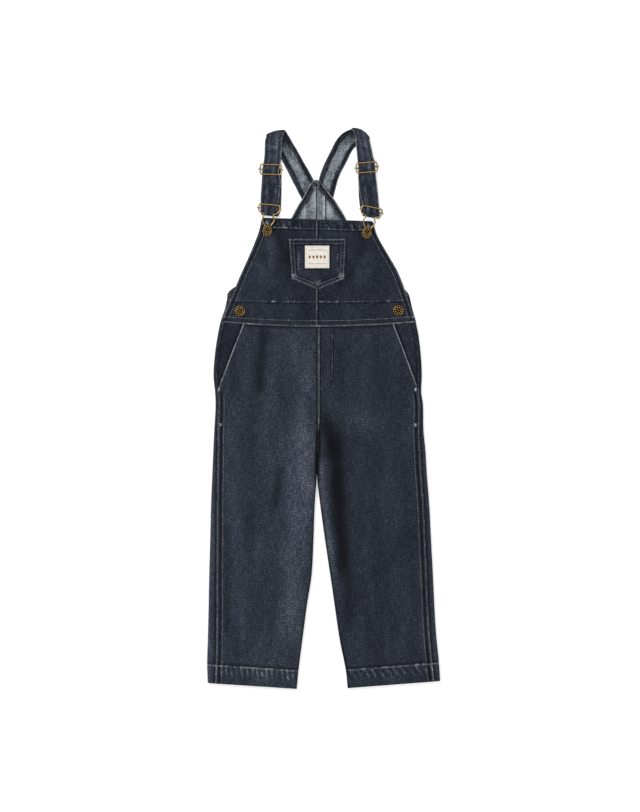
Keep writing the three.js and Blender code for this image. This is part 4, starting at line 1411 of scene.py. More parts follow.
    def back_grooves(self, x: Grid, y: Grid) -> Grid:
        """Depth of the grooves that the back's stitches lie in.

        Args:
            x: Place across.
            y: Place up the page.

        Returns:
            The height that they add.
        """
        depth = np.zeros(np.shape(x))
        for line in self.back_lines():
            signed, _ = Line(line).distance(x, y)
            depth = np.maximum(depth, bell(signed, 1.1))
        return 0.45 * depth

    def back_lines(self) -> list[Points]:
        """List the stitch lines of the back panel.

        Returns:
            The lines on the page.
        """
        inward = self.side.value
        leg = [(float(self.inner(y)) - inward * (FORM.fold + 4.5), y) for y in range(-372, -36, 24)]
        centre = [(FORM.back_seam_x - inward * 2.6, y) for y in (-24, 30, 80, 120)]
        first = self.first
        across = np.linspace(first[1] + inward * 4, first[2] - inward * 4, 8)
        hem = [(x, float(self.hem_y(x)) + 25.2) for x in across]
        waist_x = np.linspace(FORM.back_seam_x - inward * 4, self.outer(112) + inward * 5, 8)
        waist = [(x, float(FORM.waist(x)) - 4.5) for x in waist_x]
        return [leg, centre, hem, waist]

    def back(self) -> Panel:
        """Shape the back of a leg: flat below, turned up round the outer edge to the side seam.

        Returns:
            The panel.
        """
        inward = self.side.value
        y = self.rows()[:, None]
        outer, fold = self.outer(y), FORM.fold
        centre = outer + inward * fold
        leg = self.inner(y) - inward * (fold + 0.15)
        middle = FORM.back_seam_x - inward * FORM.gap / 2
        end = leg + (middle - leg) * ramp(y, FORM.rise_end_y - 6, FORM.rise_end_y + 4)
        low_x = end + (centre - end) * np.linspace(0, 1, 46)[None, :]
        low_y = self.page_y(y, low_x)
        low_z = self.underside(low_x, low_y)
        angle = math.pi * np.arange(1, 12)[None, :] / 11
        arc_x = centre - inward * fold * np.sin(angle)
        arc_y = self.page_y(y, arc_x)
        arc_z = fold - fold * np.cos(angle) + 0.0 * arc_x
        strip = self.seam(y) - fold
        top_x = centre + inward * strip * np.linspace(0.12, 1, 9)[None, :]
        top_y = self.page_y(y, top_x)
        from_seam = np.abs(top_x - outer - inward * self.seam(y))
        pucker = self.pucker(top_x, top_y)
        top_z = FORM.leg_height + 0.12 * pucker * bell(from_seam - 2, 3) + 0.0 * top_x
        x = np.hstack([low_x, arc_x, top_x])
        page = np.hstack([low_y, arc_y, top_y])
        z = np.hstack([low_z, arc_z, top_z])
        run = np.abs(centre - end)
        u = np.concatenate(
            [np.abs(low_x - end), run + fold * angle, run + fold * math.pi + np.abs(top_x - centre)], axis=1
        )
        seam_x = outer + inward * self.seam(y)
        above_hem = page - self.hem_y(x)
        from_edge = np.where(z > fold, np.abs(x - seam_x), 99.0)
        uneven = 0.78 + 0.3 * patchy(x, page, (3, 6), 23)
        wear = 0.2 * bell(from_edge, 0.6) + 0.6 * bell(above_hem - 26.4, 0.75)
        wear = (wear + 0.5 * bell(above_hem, 0.8) + 0.3 * bell(np.abs(x - outer), 1.0)) * uneven
        shade = self.size.tone - 0.03 + 0.08 * patchy(x, page, (26, 60), 24)
        # Painted lighter on the turned-up strip, more so on the left leg; painted shade above the hem's step
        # and along the side seam's edge.
        shade += (0.18 if self.side is Side.LEFT else 0.1) * (z > fold) * bell(x - outer, 8)
        shade = shade - 0.2 * bell(above_hem - 29.4, 1.8) - 0.3 * bell(from_edge - 1.4, 1.2)
        cloth = np.broadcast_to(self.thickness(y), x.shape)
        u = u + 2400 + 600 * inward
        return Panel(x, page, z, u, page, np.clip(wear, 0, 1), shade, cloth).sided(self.side)

    def hip(self) -> Panel:
        """Shape the hip panel that shows beyond the slanted pocket opening.

        Returns:
            The panel.
        """
        inward = self.side.value
        y = np.linspace(FORM.pocket_end_y + 3, FORM.waist_y, 64)[:, None]
        first = self.outer(y) + inward * (self.seam(y) + 2 * FORM.gap)
        last = self.start(y) + inward * 15
        x = first + (last - first) * np.linspace(0, 1, 40)[None, :]
        beyond = (self.start(y) - x) * inward
        seen = ramp(beyond, 2, 9)
        page = self.page_y(y, x)
        low = FORM.leg_height - FORM.cloth - FORM.gap - 0.2
        ridge = 0.25 * seen * (1 - ramp(np.abs(x - first), 4, 6))
        z = low + 0.7 * seen + ridge + 0.12 * patchy(x, page, (9, 20), 41) * seen
        edge = np.abs(x - first)
        uneven = 0.78 + 0.3 * patchy(x, page, (3, 6), 42)
        wear = (0.4 * bell(edge, 0.8) + 0.2 * bell(edge - 4.8, 0.7)) * uneven
        # Painted shadow under the pocket's slanted edge, and painted shade beside the side seam's row.
        shade = -0.12 - 0.28 * bell(beyond, 2.6) + 0.07 * patchy(x, page, (20, 30), 43)
        shade -= 0.2 * bell(edge - 2.6, 1.0)
        cloth = np.full(x.shape, FORM.cloth)
        return Panel(x, page, z, x * inward + 3600, page, np.clip(wear, 0, 1), shade, cloth).sided(self.side)

    def fly(self) -> Panel:
        """Shape the stitched fly on the right front.

        Returns:
            The panel.
        """
        s = self.size
        y = np.linspace(s.fly_bottom, s.fly_top, 84)[:, None]
        below = np.clip((s.fly_turn - y) / (s.fly_turn - s.fly_bottom + 1), 0, 1)
        right = s.fly_left + (s.fly_right - s.fly_left) * np.sqrt(1 - below**2)
        x = s.fly_left + (right - s.fly_left) * np.linspace(0, 1, 22)[None, :]
        page = np.broadcast_to(y, x.shape)
        edge = np.abs(right - x)
        rolled = ramp(np.minimum(edge, x - s.fly_left), -0.6, 2.0)
        z = self.surface(x, page) + 0.25 + 0.55 * rolled
        uneven = 0.6 + 0.4 * patchy(x, page, (3, 8), 44)
        wear = 0.4 * bell(edge - 2.0, 0.7) * uneven
        # Painted shadow along the fly's edge, painted shade in its stitch line and the folds' painted
        # shading.
        shade = self.size.tone - 0.4 * bell(edge, 1.2) + 0.07 * patchy(x, page, (9, 20), 45)
        shade = shade - 0.12 * bell(edge - 4.2, 1.2) + crease_painted_shading(MAIN_FOLDS, x, page)
        cloth = np.full(x.shape, 0.8)
        return Panel(x, page, z, x + 4200, page, np.clip(wear, 0, 1), shade, cloth)

    def sew(self) -> Piece:
        """Sew one leg: side seam, pocket edge, hem, centre seam, bar tacks and the back's seams.

        Returns:
            The stitches.
        """
        s, inward = self.size, self.side.value
        thread = Stitching()
        front = self.surface
        low = self.first[0] + 2
        seam_y = np.arange(low, FORM.pocket_end_y - 4, 4.0)
        for reach in (1.7, s.seam_stitch):
            x = self.start(seam_y) + inward * reach
            thread.sew(list(zip(x, self.page_y(seam_y, x))), front)
        pocket_y = np.linspace(FORM.pocket_end_y + 1, FORM.waist_y - 2, 12)
        x = self.start(pocket_y) + inward * 1.6
        thread.sew(list(zip(x, self.page_y(pocket_y, x))), front)
        first = self.first
        hem_x = np.linspace(first[1] + inward * 3.4, first[2] - inward * 3.2, 20)
        rim = np.where(np.abs(hem_x - first[1]) < 8, FORM.leg_height, 0.0)
        thread.sew(
            list(zip(hem_x, self.hem_y(hem_x) + 25.2)),
            lambda x, y: np.maximum(front(x, y), rim.max() * 0.98),
        )
        if self.side is Side.RIGHT:
            thread.sew([(FORM.leg_seam_x + 1.2, y) for y in (-22.0, 40.0, 116.0)], front)
        tack = Stitching(3.2, 0.1, 0.34)
        for along, where in ((FORM.pocket_end_y + 0.5, 3.2), (-24.0, 5.0)):
            spot = float(self.start(along)) + inward * where
            for k in range(9):
                line = [(spot - 2.6, along - 2 + 0.5 * k), (spot + 2.6, along - 1.8 + 0.5 * k)]
                tack.sew(line, front, sink=0.0)
        thread.frames += tack.frames
        below = (0.0, 0.0, -1.0)
        for line in self.back_lines():
            thread.sew(line, self.underside, up=below, sink=0.2)
        return thread.piece(f"stitches_leg_{self.side.label}", self.finishes.thread)

    def sew_fly(self) -> Piece:
        """Sew the fly's edge and its tack.

        Returns:
            The stitches.
        """
        s = self.size
        thread = Stitching(2.2, 0.9, 0.24)
        turn = np.linspace(0, math.pi / 2, 12)
        drop = s.fly_turn - s.fly_bottom
        inset = 2.4
        reach = s.fly_right - s.fly_left - inset
        curve = [
            (s.fly_left + reach * math.cos(a), s.fly_turn - (drop - inset) * math.sin(a)) for a in turn
        ]
        line = [(s.fly_left + reach, s.fly_top - 2), *curve[:-1]]
        thread.sew(line, lambda x, y: self.surface(x, y) + 0.85)
        return thread.piece("stitches_fly", self.finishes.dark_thread)

    def build(self) -> None:
        """Build every piece of the leg."""
        cloths = [self.finishes.denim, self.finishes.inside]
        word = self.side.label
        stitches = self.sew()
        front = cloth_piece(f"leg_front_{word}", self.front(), cloths, nodes=[f"front_leg_{word}"])
        back = cloth_piece(f"leg_back_{word}", self.back(), cloths, nodes=[f"back_leg_{word}"])
        hip = cloth_piece(f"hip_{word}", self.hip(), cloths, nodes=[f"hip_panel_{word}"])
        CUTS["leg_front"].size
        CUTS["leg_back"].size
        CUTS["hip"].size
        if self.side is Side.RIGHT:
            fly = cloth_piece("fly_shape", self.fly(), cloths, nodes=["fly"])
            CUTS["fly"].size
            self.sew_fly()


class Back:
    """The upper back, seen from its inside through the neck, with its turned edges."""

    ROWS = [
        (119, -150.0, 133.4),
        (136, -145.6, 129.6),
        (158, -140.8, 125.0),
        (169, -138.4, 120.6),
        (182, -121.0, 104.0),
        (200, -101.0, 82.0),
        (225, -80.0, 58.0),
        (250, -62.0, 40.0),
        (276, -47.4, 31.4),
        (292, -39.0, 21.8),
        (304, -31.6, 14.0),
        (316, -24.8, 4.6),
        (326, -19.4, -3.2),
        (331, -15.0, -7.4),
    ]

    @dataclass(frozen=True)
    class Sizes:
        """Sizes of the upper back in millimetres."""

        band_width: float = 8.0
        band_start: float = 182.0
        band_end: float = 329.0
        felled_left: float = -10.7
        felled_right: float = 0.3
        ring_place: tuple[float, float] = (-11.5, 323.9)
        ring_radii: tuple[float, float] = (2.6, 5.6)
        ring_stitches: int = 24

    size = Sizes()

    def __init__(self, finishes: Finishes) -> None:
        """Read the section table."""
        self.finishes = finishes
        self.edge = dict(zip(Side, tracks(self.ROWS)))

    def lift(self, y: object) -> Grid:
        """How far the upper back is lifted by the straps' ends."""
        return FORM.back_lift * ramp(y, 276, 291)

    def inside_top(self, x: Grid, y: Grid) -> Grid:
        """Height of the upper back's inside, which faces up.

        Args:
            x: Place across.
            y: Place up the page.

        Returns:
            The height in millimetres.
        """
        s = self.size
        x = np.asarray(x, dtype=float)
        flat = ramp(x, s.felled_left - 0.8, s.felled_left + 0.4)
        felled = 0.3 * flat * (1 - ramp(x, s.felled_right - 0.4, s.felled_right + 0.8))
        return self.lift(y) + FORM.cloth + felled + 0.1 * patchy(x, y, (7, 16), 51)

    def half(self, side: Side) -> Panel:
        """Shape one half; its outer face is the inside of the garment.

        Args:
            side: The side.

        Returns:
            The panel.
        """
        s, inward = self.size, side.value
        low, high = np.arange(119, 262, 3.0), np.arange(262, 331.1, 1.0)
        y = np.concatenate([low, high])[:, None]
        middle = FORM.back_seam_x - inward * FORM.gap / 2
        edge = self.edge[side](y)
        x = edge + (middle - edge) * np.linspace(0, 1, 56)[None, :]
        waist = (FORM.waist(x) - FORM.waist_y + FORM.gap) * (1 - ramp(y, FORM.waist_y, 150))
        page = y + waist
        z = self.inside_top(x, page)
        uneven = 0.75 + 0.35 * patchy(x, page, (3, 6), 52)
        rim = np.abs(x - edge)
        wear = 0.9 * bell(x - s.felled_right, 0.9) * uneven
        # Painted shade beside both sides of the felled seam and along the bands, and darker low down near the
        # edge.
        shade = 0.08 + 0.2 * patchy(x, page, (4, 24), 53) - 0.6 * bell(x - s.felled_right - 2.2, 1.0)
        shade = shade - 0.6 * bell(x - s.felled_left, 1.2) - 0.25 * bell(rim - s.band_width - 2, 3)
        beside = (1 - ramp(page, 200, 215)) * (1 - ramp(rim, 16, 20))
        shade -= 0.5 * beside
        cloth = np.full(x.shape, FORM.cloth)
        u = x * inward + 4800 + 300 * inward
        return Panel(x, page, z, u, page, np.clip(wear, 0, 1), shade, cloth).sided(side)

    def band(self, side: Side) -> Panel:
        """Shape the turned edge along the neck and arm curve.

        Args:
            side: The side.

        Returns:
            The panel.
        """
        s, inward = self.size, side.value
        y = np.linspace(s.band_start, s.band_end, 110)[:, None]
        edge = self.edge[side](y)
        slope = (self.edge[side](y + 4) - self.edge[side](y - 4)) / 8
        room = np.abs(edge - FORM.back_seam_x) - FORM.gap
        across = np.minimum(s.band_width * np.hypot(1, slope), room)
        share = np.linspace(0, 1, 12)[None, :]
        x = edge + inward * (0.4 + share * (across - 0.4))
        page = np.broadcast_to(y, x.shape)
        low = self.lift(page) + FORM.cloth + FORM.gap
        reach = share * s.band_width + 0.0 * y
        rolled = ramp(np.minimum(reach, s.band_width - reach), -0.8, 1.6)
        pucker = np.sin(2 * math.pi * (page / 6.2 + 0.4 * patchy(x, page, (20, 12), 54)))
        z = low + FORM.trim_cloth * (0.45 + 0.55 * rolled) + 0.1 * pucker * rolled
        uneven = 0.75 + 0.35 * patchy(x, page, (2.5, 5), 55)
        wear = (0.85 * bell(reach - 0.5, 0.7) + 0.2 * bell(reach - s.band_width, 0.7)) * uneven
        # Painted shade beside the edge row, and painted shade and highlight on the puckers.
        shade = -0.16 - 0.2 * bell(reach - 2.6, 0.8) + 0.08 * patchy(x, page, (5, 9), 56)
        shade += 0.12 * pucker
        cloth = np.full(x.shape, FORM.trim_cloth * 0.8)
        return Panel(x, page, z, reach + 5600, page, np.clip(wear, 0, 1), shade, cloth).sided(side)

    def sew(self, side: Side) -> Piece:
        """Sew a half: the band's two rows, the felled seam's row and, on the right, the tip's ring.

        Args:
            side: The side.

        Returns:
            The stitches.
        """
        s, inward = self.size, side.value
        thread = Stitching(2.2, 0.8, 0.26)
        y = np.linspace(s.band_start + 2, s.band_end - 3, 30)
        slope = (self.edge[side](y + 4) - self.edge[side](y - 4)) / 8
        for reach in (1.6, 6.4):
            x = self.edge[side](y) + inward * reach * np.hypot(1, slope)
            kept = (FORM.back_seam_x - x) * inward > 1.5
            top = FORM.cloth + FORM.gap + FORM.trim_cloth
            line = list(zip(x[kept], y[kept]))
            thread.sew(line, lambda a, b: self.lift(b) + top)
        felled_x = s.felled_left + 1.4 if side is Side.LEFT else s.felled_right - 1.2
        thread.sew([(felled_x, 250.0), (felled_x, 312.0)], self.inside_top)
        if side is Side.RIGHT:
            turn = np.linspace(0, 2 * math.pi, s.ring_stitches, endpoint=False)
            spoke = np.stack([np.cos(turn), np.sin(turn), 0 * turn], axis=1)
            top = FORM.back_lift + FORM.cloth + FORM.gap + FORM.trim_cloth
            middle = np.array([*s.ring_place, top])
            near, far = (middle + radius * spoke for radius in s.ring_radii)
            thread.pairs(near, far, sink=-0.1)
        return thread.piece(f"stitches_back_{side.label}", self.finishes.thread, Slot.INSIDE)

    def build(self) -> None:
        """Build every piece of the upper back."""
        for side in Side:
            word = side.label
            half = cloth_piece(
                f"back_{word}", self.half(side), [self.finishes.inside, self.finishes.denim], Slot.INSIDE,
                [f"back_upper_{word}"]
            )
            band = cloth_piece(
                f"back_band_{word}", self.band(side), [self.finishes.denim],
                nodes=[f"back_edge_band_{word}"]
            )
            CUTS["back"].size
            self.sew(side)
            CUTS["band"].size


class Bib:
    """The bib: two halves, the pointed pocket and its label."""

    ROWS = [
        (122, -147.6, 131.6),
        (146, -139.9, 125.4),
        (170, -130.5, 117.6),
        (198, -119.0, 107.0),
        (224, -107.0, 92.6),
        (250, -96.0, 78.6),
        (264, -92.0, 73.4),
        (271, -90.6, 72.0),
        (274, -88.4, 69.8),
    ]

    @dataclass(frozen=True)
    class Sizes:
        """Sizes of the bib in millimetres."""

        edge_rows: tuple[float, float] = (1.8, 8.4)
        facing_y: float = 154.4
        facing_rise: float = 2.0
        waist_row: float = 8.0
        pocket_top: tuple[float, float] = (-50.9, 31.3)
        pocket_top_y: float = 245.6
        pocket_low: tuple[float, float] = (-46.4, 29.0)
        pocket_low_y: float = 188.2
        pocket_point_y: float = 172.1
        pocket_hem: float = 7.0
        label_x: tuple[float, float] = (-27.6, 7.8)
        label_y: tuple[float, float] = (203.1, 235.8)

    size = Sizes()

    def __init__(self, finishes: Finishes, back: Back) -> None:
        """Read the section table."""
        self.finishes, self.back = finishes, back
        self.edge = dict(zip(Side, tracks(self.ROWS)))

    def bottom(self, x: Grid, y: Grid) -> Grid:
        """Height of the bib's underside: over the back where that lies under it.

        Args:
            x: Place across.
            y: Place up the page.

        Returns:
            The height in millimetres.
        """
        over = FORM.cloth + FORM.gap + FORM.trim_cloth + 2 * FORM.gap
        left, right = self.back.edge[Side.LEFT](y), self.back.edge[Side.RIGHT](y)
        support = 1 - ramp(np.maximum(left - x, x - right), 6, 19)
        waist = 1 - ramp(y, FORM.waist_y + 4, 205)
        rise = (FORM.leg_height - FORM.cloth - over) * waist * support
        return FORM.gap + (over - FORM.gap) * support + rise

    def thickness(self, x: Grid, y: Grid) -> Grid:
        """The cloth's thickness, doubled in the hem along the top."""
        seam = FORM.bib_top(x) - FORM.bib_hem_depth
        return FORM.cloth + (FORM.hem_cloth - FORM.cloth) * ramp(y, seam - 1, seam + 1)

    def surface(self, x: Grid, y: Grid) -> Grid:
        """Height of the bib's outside.

        Args:
            x: Place across.
            y: Place up the page.

        Returns:
            The height in millimetres.
        """
        x, y = np.asarray(x, dtype=float), np.asarray(y, dtype=float)
        fade = ramp(y, FORM.waist_y, FORM.waist_y + 20) * (1 - ramp(y, 236, 258))
        loose = crease_lift(MAIN_FOLDS, x, y) + crease_lift(FINE_FOLDS, x, y)
        loose = np.maximum(0, loose) + 0.3 * np.minimum(0, loose)
        loose = loose + 0.14 * patchy(x, y, (20, 36), 61) + 0.08 * patchy(x, y, (7, 12), 62)
        from_left = np.abs(x - self.edge[Side.LEFT](y))
        from_right = np.abs(x - self.edge[Side.RIGHT](y))
        edge = np.minimum(from_left, from_right)
        below_top = FORM.bib_top(x) - y
        groove = bell(edge - self.size.edge_rows[1], 1.0)
        felled = 0.3 * (1 - ramp(edge, 8.2, 10.0)) - 0.2 * groove
        pucker = np.sin(2 * math.pi * y / 6.8 + 2.6 * patchy(x, y, (30, 10), 63))
        felled += 0.14 * pucker * bell(edge - 5.5, 3.4)
        ripple = self.ripple(x, y)
        hem = -0.28 * bell(below_top - 13.9, 1.1) + 0.15 * ripple * bell(below_top - 9, 5)
        centre = np.abs(x - FORM.bib_seam_x)
        seam = 0.25 * (1 - ramp(centre, 4.2, 5.8)) - 0.3 * bell(centre, 0.8)
        above_waist = y - FORM.waist(x)
        waist = 0.28 * (1 - ramp(above_waist, 9.0, 11.0)) - 0.25 * bell(above_waist - 8, 0.9)
        facing = -0.18 * bell(y - self.facing(x), 1.0)
        return (
            self.bottom(x, y)
            + self.thickness(x, y)
            + loose * fade * ramp(edge, 0, 14)
            + felled
            + hem
            + seam
            + waist
            + facing
        )

    def ripple(self, x: Grid, y: Grid) -> Grid:
        """The uneven rise and fall of the top hem, which its sewing has drawn in."""
        coarse = patchy(x + 0.35 * y, y, (3.4, 9), 64)
        return 0.65 * coarse + 0.35 * patchy(x, y, (1.7, 5), 78)

    def facing(self, x: object) -> Grid:
        """Height of the facing's stitch row on the page."""
        s = self.size
        return s.facing_y + s.facing_rise * ((np.asarray(x) - FORM.bib_seam_x) / 110) ** 2

    def half(self, side: Side) -> Panel:
        """Shape one half, from its free edge to the centre seam.

        Args:
            side: The side.

        Returns:
            The panel.
        """
        s, inward = self.size, side.value
        y = np.linspace(FORM.waist_y, FORM.bib_top_y, 108)[:, None]
        edge = self.edge[side](y)
        middle = FORM.bib_seam_x - inward * FORM.gap / 2
        x = edge + (middle - edge) * graded(88, 16, 0.1)[None, :]
        low = (FORM.waist(x) - FORM.waist_y + FORM.gap) * (1 - ramp(y, FORM.waist_y, 150))
        high = (FORM.bib_top(x) - FORM.bib_top_y) * ramp(y, 200, FORM.bib_top_y)
        page = y + low + high
        z = self.surface(x, page)
        rim = np.abs(x - edge)
        below_top = FORM.bib_top(x) - page
        above_waist = page - FORM.waist(x)
        centre = np.abs(x - FORM.bib_seam_x)
        uneven = 0.78 + 0.3 * patchy(x, page, (3, 6), 65)
        ripple = self.ripple(x, page)
        tucks = patchy(x, page, (1.3, 5), 74)
        broken = 0.55 + 0.9 * patchy(x, page, (6, 9), 79)
        wear = 0.6 * bell(rim, 0.7) + 0.15 * bell(rim - s.edge_rows[1], 0.8)
        wear = wear + 0.3 * bell(below_top, 0.8) + 0.55 * bell(below_top - 13.4, 1.0) * (0.5 + ripple)
        wear += 0.85 * bell(above_waist, 0.8) * broken
        wear += 0.35 * bell(above_waist - 8.6, 0.8) * broken
        wear += 0.55 * bell(x - FORM.bib_seam_x + 0.5, 0.7)
        wear += 0.55 * np.clip(ripple, 0, 1) * bell(below_top - 9, 4)
        wear += 0.7 * np.clip(tucks, 0, 1) * bell(page - self.facing(x), 1.3)
        # Tone: the folds' painted shading and random patches.
        shade = crease_painted_shading(MAIN_FOLDS, x, page) + crease_painted_shading(FINE_FOLDS, x, page)
        shade = shade - 0.08 + 0.08 * patchy(x, page, (26, 50), 66) + 0.05 * patchy(x, page, (7, 12), 75)
        # Painted shade beside the centre seam and the edge rows, below the top hem's row and the facing row;
        # painted shade and highlight on the hem's ripples and on small tucks.
        shade -= 0.36 * bell(x - FORM.bib_seam_x - 1.5, 1.1)
        shade += 0.2 * patchy(x, page, (7, 1.8), 77) * bell(x - FORM.bib_seam_x - 6, 4)
        shade = shade - 0.2 * bell(rim - 4.6, 1.6) + 0.6 * ripple * bell(below_top - 8, 5)
        shade = shade - 0.2 * bell(below_top - 15.6, 1.3) - 0.16 * bell(page - self.facing(x) + 2.2, 1.4)
        shade = shade + 0.3 * tucks * bell(page - self.facing(x), 3) + 0.1 * tucks * bell(above_waist - 5, 4)
        # Painted shadow round the pocket.
        x_mid, top_y = (s.pocket_top[0] + s.pocket_top[1]) / 2, s.pocket_top_y
        beside = np.maximum(np.abs(x - x_mid) - 41.5, 0) + np.maximum(page - top_y, 0)
        shade -= 0.1 * bell(beside, 2.6) * ramp(page, 180, 195)
        cloth = self.thickness(x, page)
        u = x * inward + 6600 + 300 * inward
        return Panel(x, page, z, u, page, np.clip(wear * uneven, 0, 1), shade, cloth).sided(side)

    def pocket_frame(self, u: Grid, v: Grid) -> tuple[Grid, Grid]:
        """Place a point of the pocket.

        Args:
            u: From 0 at its left edge to 1 at its right.
            v: From 0 at its top to 1 at its lower edge.

        Returns:
            The places across and up the page.
        """
        s = self.size
        top = s.pocket_top[0] + (s.pocket_top[1] - s.pocket_top[0]) * u
        low = s.pocket_low[0] + (s.pocket_low[1] - s.pocket_low[0]) * u
        point = 1 - np.abs(u - 0.5) * 2
        low_y = s.pocket_low_y + (s.pocket_point_y - s.pocket_low_y) * point
        return top + (low - top) * v, s.pocket_top_y + (low_y - s.pocket_top_y) * v

    def pocket_top(self, x: Grid, y: Grid) -> Grid:
        """Height of the pocket's outside."""
        return self.surface(x, y) + FORM.gap + FORM.cloth + 0.1 * patchy(x, y, (9, 14), 67)

    def pocket(self) -> Panel:
        """Shape the pocket.

        Returns:
            The panel.
        """
        s = self.size
        u = np.linspace(0, 1, 66)[None, :] + np.zeros((58, 1))
        v = np.linspace(1, 0, 58)[:, None] + np.zeros((1, 66))
        x, y = self.pocket_frame(u, v)
        width = s.pocket_top[1] - s.pocket_top[0]
        side = np.minimum(u, 1 - u) * width * 0.96
        low_y = s.pocket_low_y + (s.pocket_point_y - s.pocket_low_y) * (1 - np.abs(u - 0.5) * 2)
        above_low = (y - low_y) * 0.93
        below_top = s.pocket_top_y - y
        edge = np.minimum(np.minimum(side, above_low), below_top)
        sewn = np.minimum(side, above_low)
        z = self.pocket_top(x, y) - 0.35 * (1 - ramp(edge, 0, 1.4))
        z = z - 0.22 * bell(sewn - 6.4, 0.9) - 0.22 * bell(below_top - s.pocket_hem, 0.9)
        z = z + 0.25 * (1 - ramp(sewn, 6.8, 8.4)) * ramp(sewn, 0, 1)
        uneven = 0.78 + 0.3 * patchy(x, y, (3, 6), 68)
        wear = 0.65 * bell(edge, 0.8) + 0.15 * bell(sewn - 6.4, 0.9)
        wear += 0.2 * bell(below_top - s.pocket_hem, 0.9)
        streaks = bell(x + 37.0, 2.2) + bell(x - 19.7, 2.2)
        wear += 0.28 * streaks * ramp(below_top, 10, 24) * ramp(above_low, 4, 16)
        corners = bell(side - 4, 5) * bell(above_low - 5, 5) + 0.7 * bell(x + 9.4, 8) * bell(above_low - 9, 4)
        wear += 0.45 * corners
        # Painted shade beside the sewn rows and below the hem's step.
        shade = -0.06 - 0.2 * bell(sewn - 8.6, 1.3) + 0.08 * patchy(x, y, (16, 22), 69)
        shade = shade - 0.2 * bell(below_top - s.pocket_hem - 2, 1.4) + 0.05 * patchy(x, y, (6, 7), 76)
        # Painted shadow round the label.
        outside_x = np.maximum(s.label_x[0] - x, x - s.label_x[1])
        outside_y = np.maximum(s.label_y[0] - y, y - s.label_y[1])
        shade -= 0.4 * bell(np.maximum(outside_x, outside_y) - 0.3, 1.3)
        cloth = np.full(x.shape, FORM.cloth)
        return Panel(x, y, z, x + 7400, y, np.clip(wear * uneven, 0, 1), shade, cloth)

    def label(self) -> Panel:
        """Shape the label.

        Returns:
            The panel.
        """
        s = self.size
        across = np.linspace(0, s.label_x[1] - s.label_x[0], 36)[None, :] + np.zeros((34, 1))
        up = np.linspace(0, s.label_y[1] - s.label_y[0], 34)[:, None] + np.zeros((1, 36))
        x, y = s.label_x[0] + across, s.label_y[0] + up
        edge = np.minimum(np.minimum(across, across.max() - across), np.minimum(up, up.max() - up))
        z = self.pocket_top(x, y) + FORM.gap + FORM.trim_cloth * (0.6 + 0.4 * ramp(edge, 0, 1.0))
        z = z - 0.18 * bell(edge - 1.9, 0.7) + 0.12 * patchy(x, y, (9, 9), 70)
        blank = np.zeros(x.shape)
        return Panel(x, y, z, across, up, blank, blank, np.full(x.shape, FORM.trim_cloth * 0.8))

    def sew(self, side: Side) -> Piece:
        """Sew one half: its edge, top hem, centre seam, facing and waist.

        Args:
            side: The side.

        Returns:
            The stitches.
        """
        s, inward = self.size, side.value
        thread = Stitching(2.4, 0.9, 0.28)
        y = np.linspace(FORM.waist_y + 6, FORM.bib_top_y - 2, 30)
        for reach in s.edge_rows:
            x = self.edge[side](y) + inward * reach
            page = y + (FORM.waist(x) - FORM.waist_y) * (1 - ramp(y, FORM.waist_y, 150))
            thread.sew(list(zip(x, page)), self.surface)
        top_x = np.linspace(self.edge[side](262) + inward * 9, FORM.bib_seam_x, 12)
        thread.sew(list(zip(top_x, FORM.bib_top(top_x) - 13.9)), self.surface)
        if side is Side.LEFT:
            column = FORM.bib_seam_x - 1.0
            thread.sew([(column, FORM.waist_y + 2), (column, 171.0)], self.surface)
            thread.sew([(column, 247.0), (column, 272.0)], self.surface)
        wide = np.linspace(self.edge[side](154) + inward * 9, FORM.bib_seam_x, 12)
        dotted = Stitching(1.7, 1.9, thread.radius)
        dotted.sew(list(zip(wide, self.facing(wide))), self.surface)
        thread.frames.extend(dotted.frames)
        low_x = np.linspace(self.edge[side](125) + inward * 2, FORM.bib_seam_x, 14)
        for reach in (1.4, s.waist_row):
            thread.sew(list(zip(low_x, FORM.waist(low_x) + reach)), self.surface)
        return thread.piece(f"stitches_bib_{side.label}", self.finishes.thread)

    def sew_pocket(self) -> Piece:
        """Sew the pocket and its label.

        Returns:
            The stitches.
        """
        s = self.size
        thread = Stitching(2.2, 0.8, 0.26)

        def frame_line(inset: float) -> list[tuple[float, float]]:
            """List the corners of a row this far inside the pocket's edge."""
            width = s.pocket_top[1] - s.pocket_top[0]
            u, v = inset / width, 1 - inset / 62
            corners = [(u, 0.02), (u, v), (0.5, v), (1 - u, v), (1 - u, 0.02)]
            return [tuple(float(c) for c in self.pocket_frame(np.array(a), np.array(b))) for a, b in corners]

        for inset in (1.6, 6.4):
            thread.sew(frame_line(inset), self.pocket_top)
        left, right = s.pocket_top[0] + 1, s.pocket_top[1] - 1
        for drop in (1.6, s.pocket_hem):
            y = s.pocket_top_y - drop
            thread.sew([(left, y), (right, y)], self.pocket_top)
        return thread.piece("stitches_pocket", self.finishes.thread)

    def sew_label(self) -> Piece:
        """Sew the label on.

        Returns:
            The stitches.
        """
        (x0, x1), (y0, y1) = self.size.label_x, self.size.label_y
        thread = Stitching(1.9, 0.7, 0.2)
        k = 1.9
        loop = [(x0 + k, y0 + k), (x1 - k, y0 + k), (x1 - k, y1 - k), (x0 + k, y1 - k), (x0 + k, y0 + k)]
        thread.sew(loop, lambda x, y: self.pocket_top(x, y) + FORM.gap + FORM.trim_cloth - 0.16)
        return thread.piece("stitches_label", self.finishes.label_thread, Slot.LABEL)

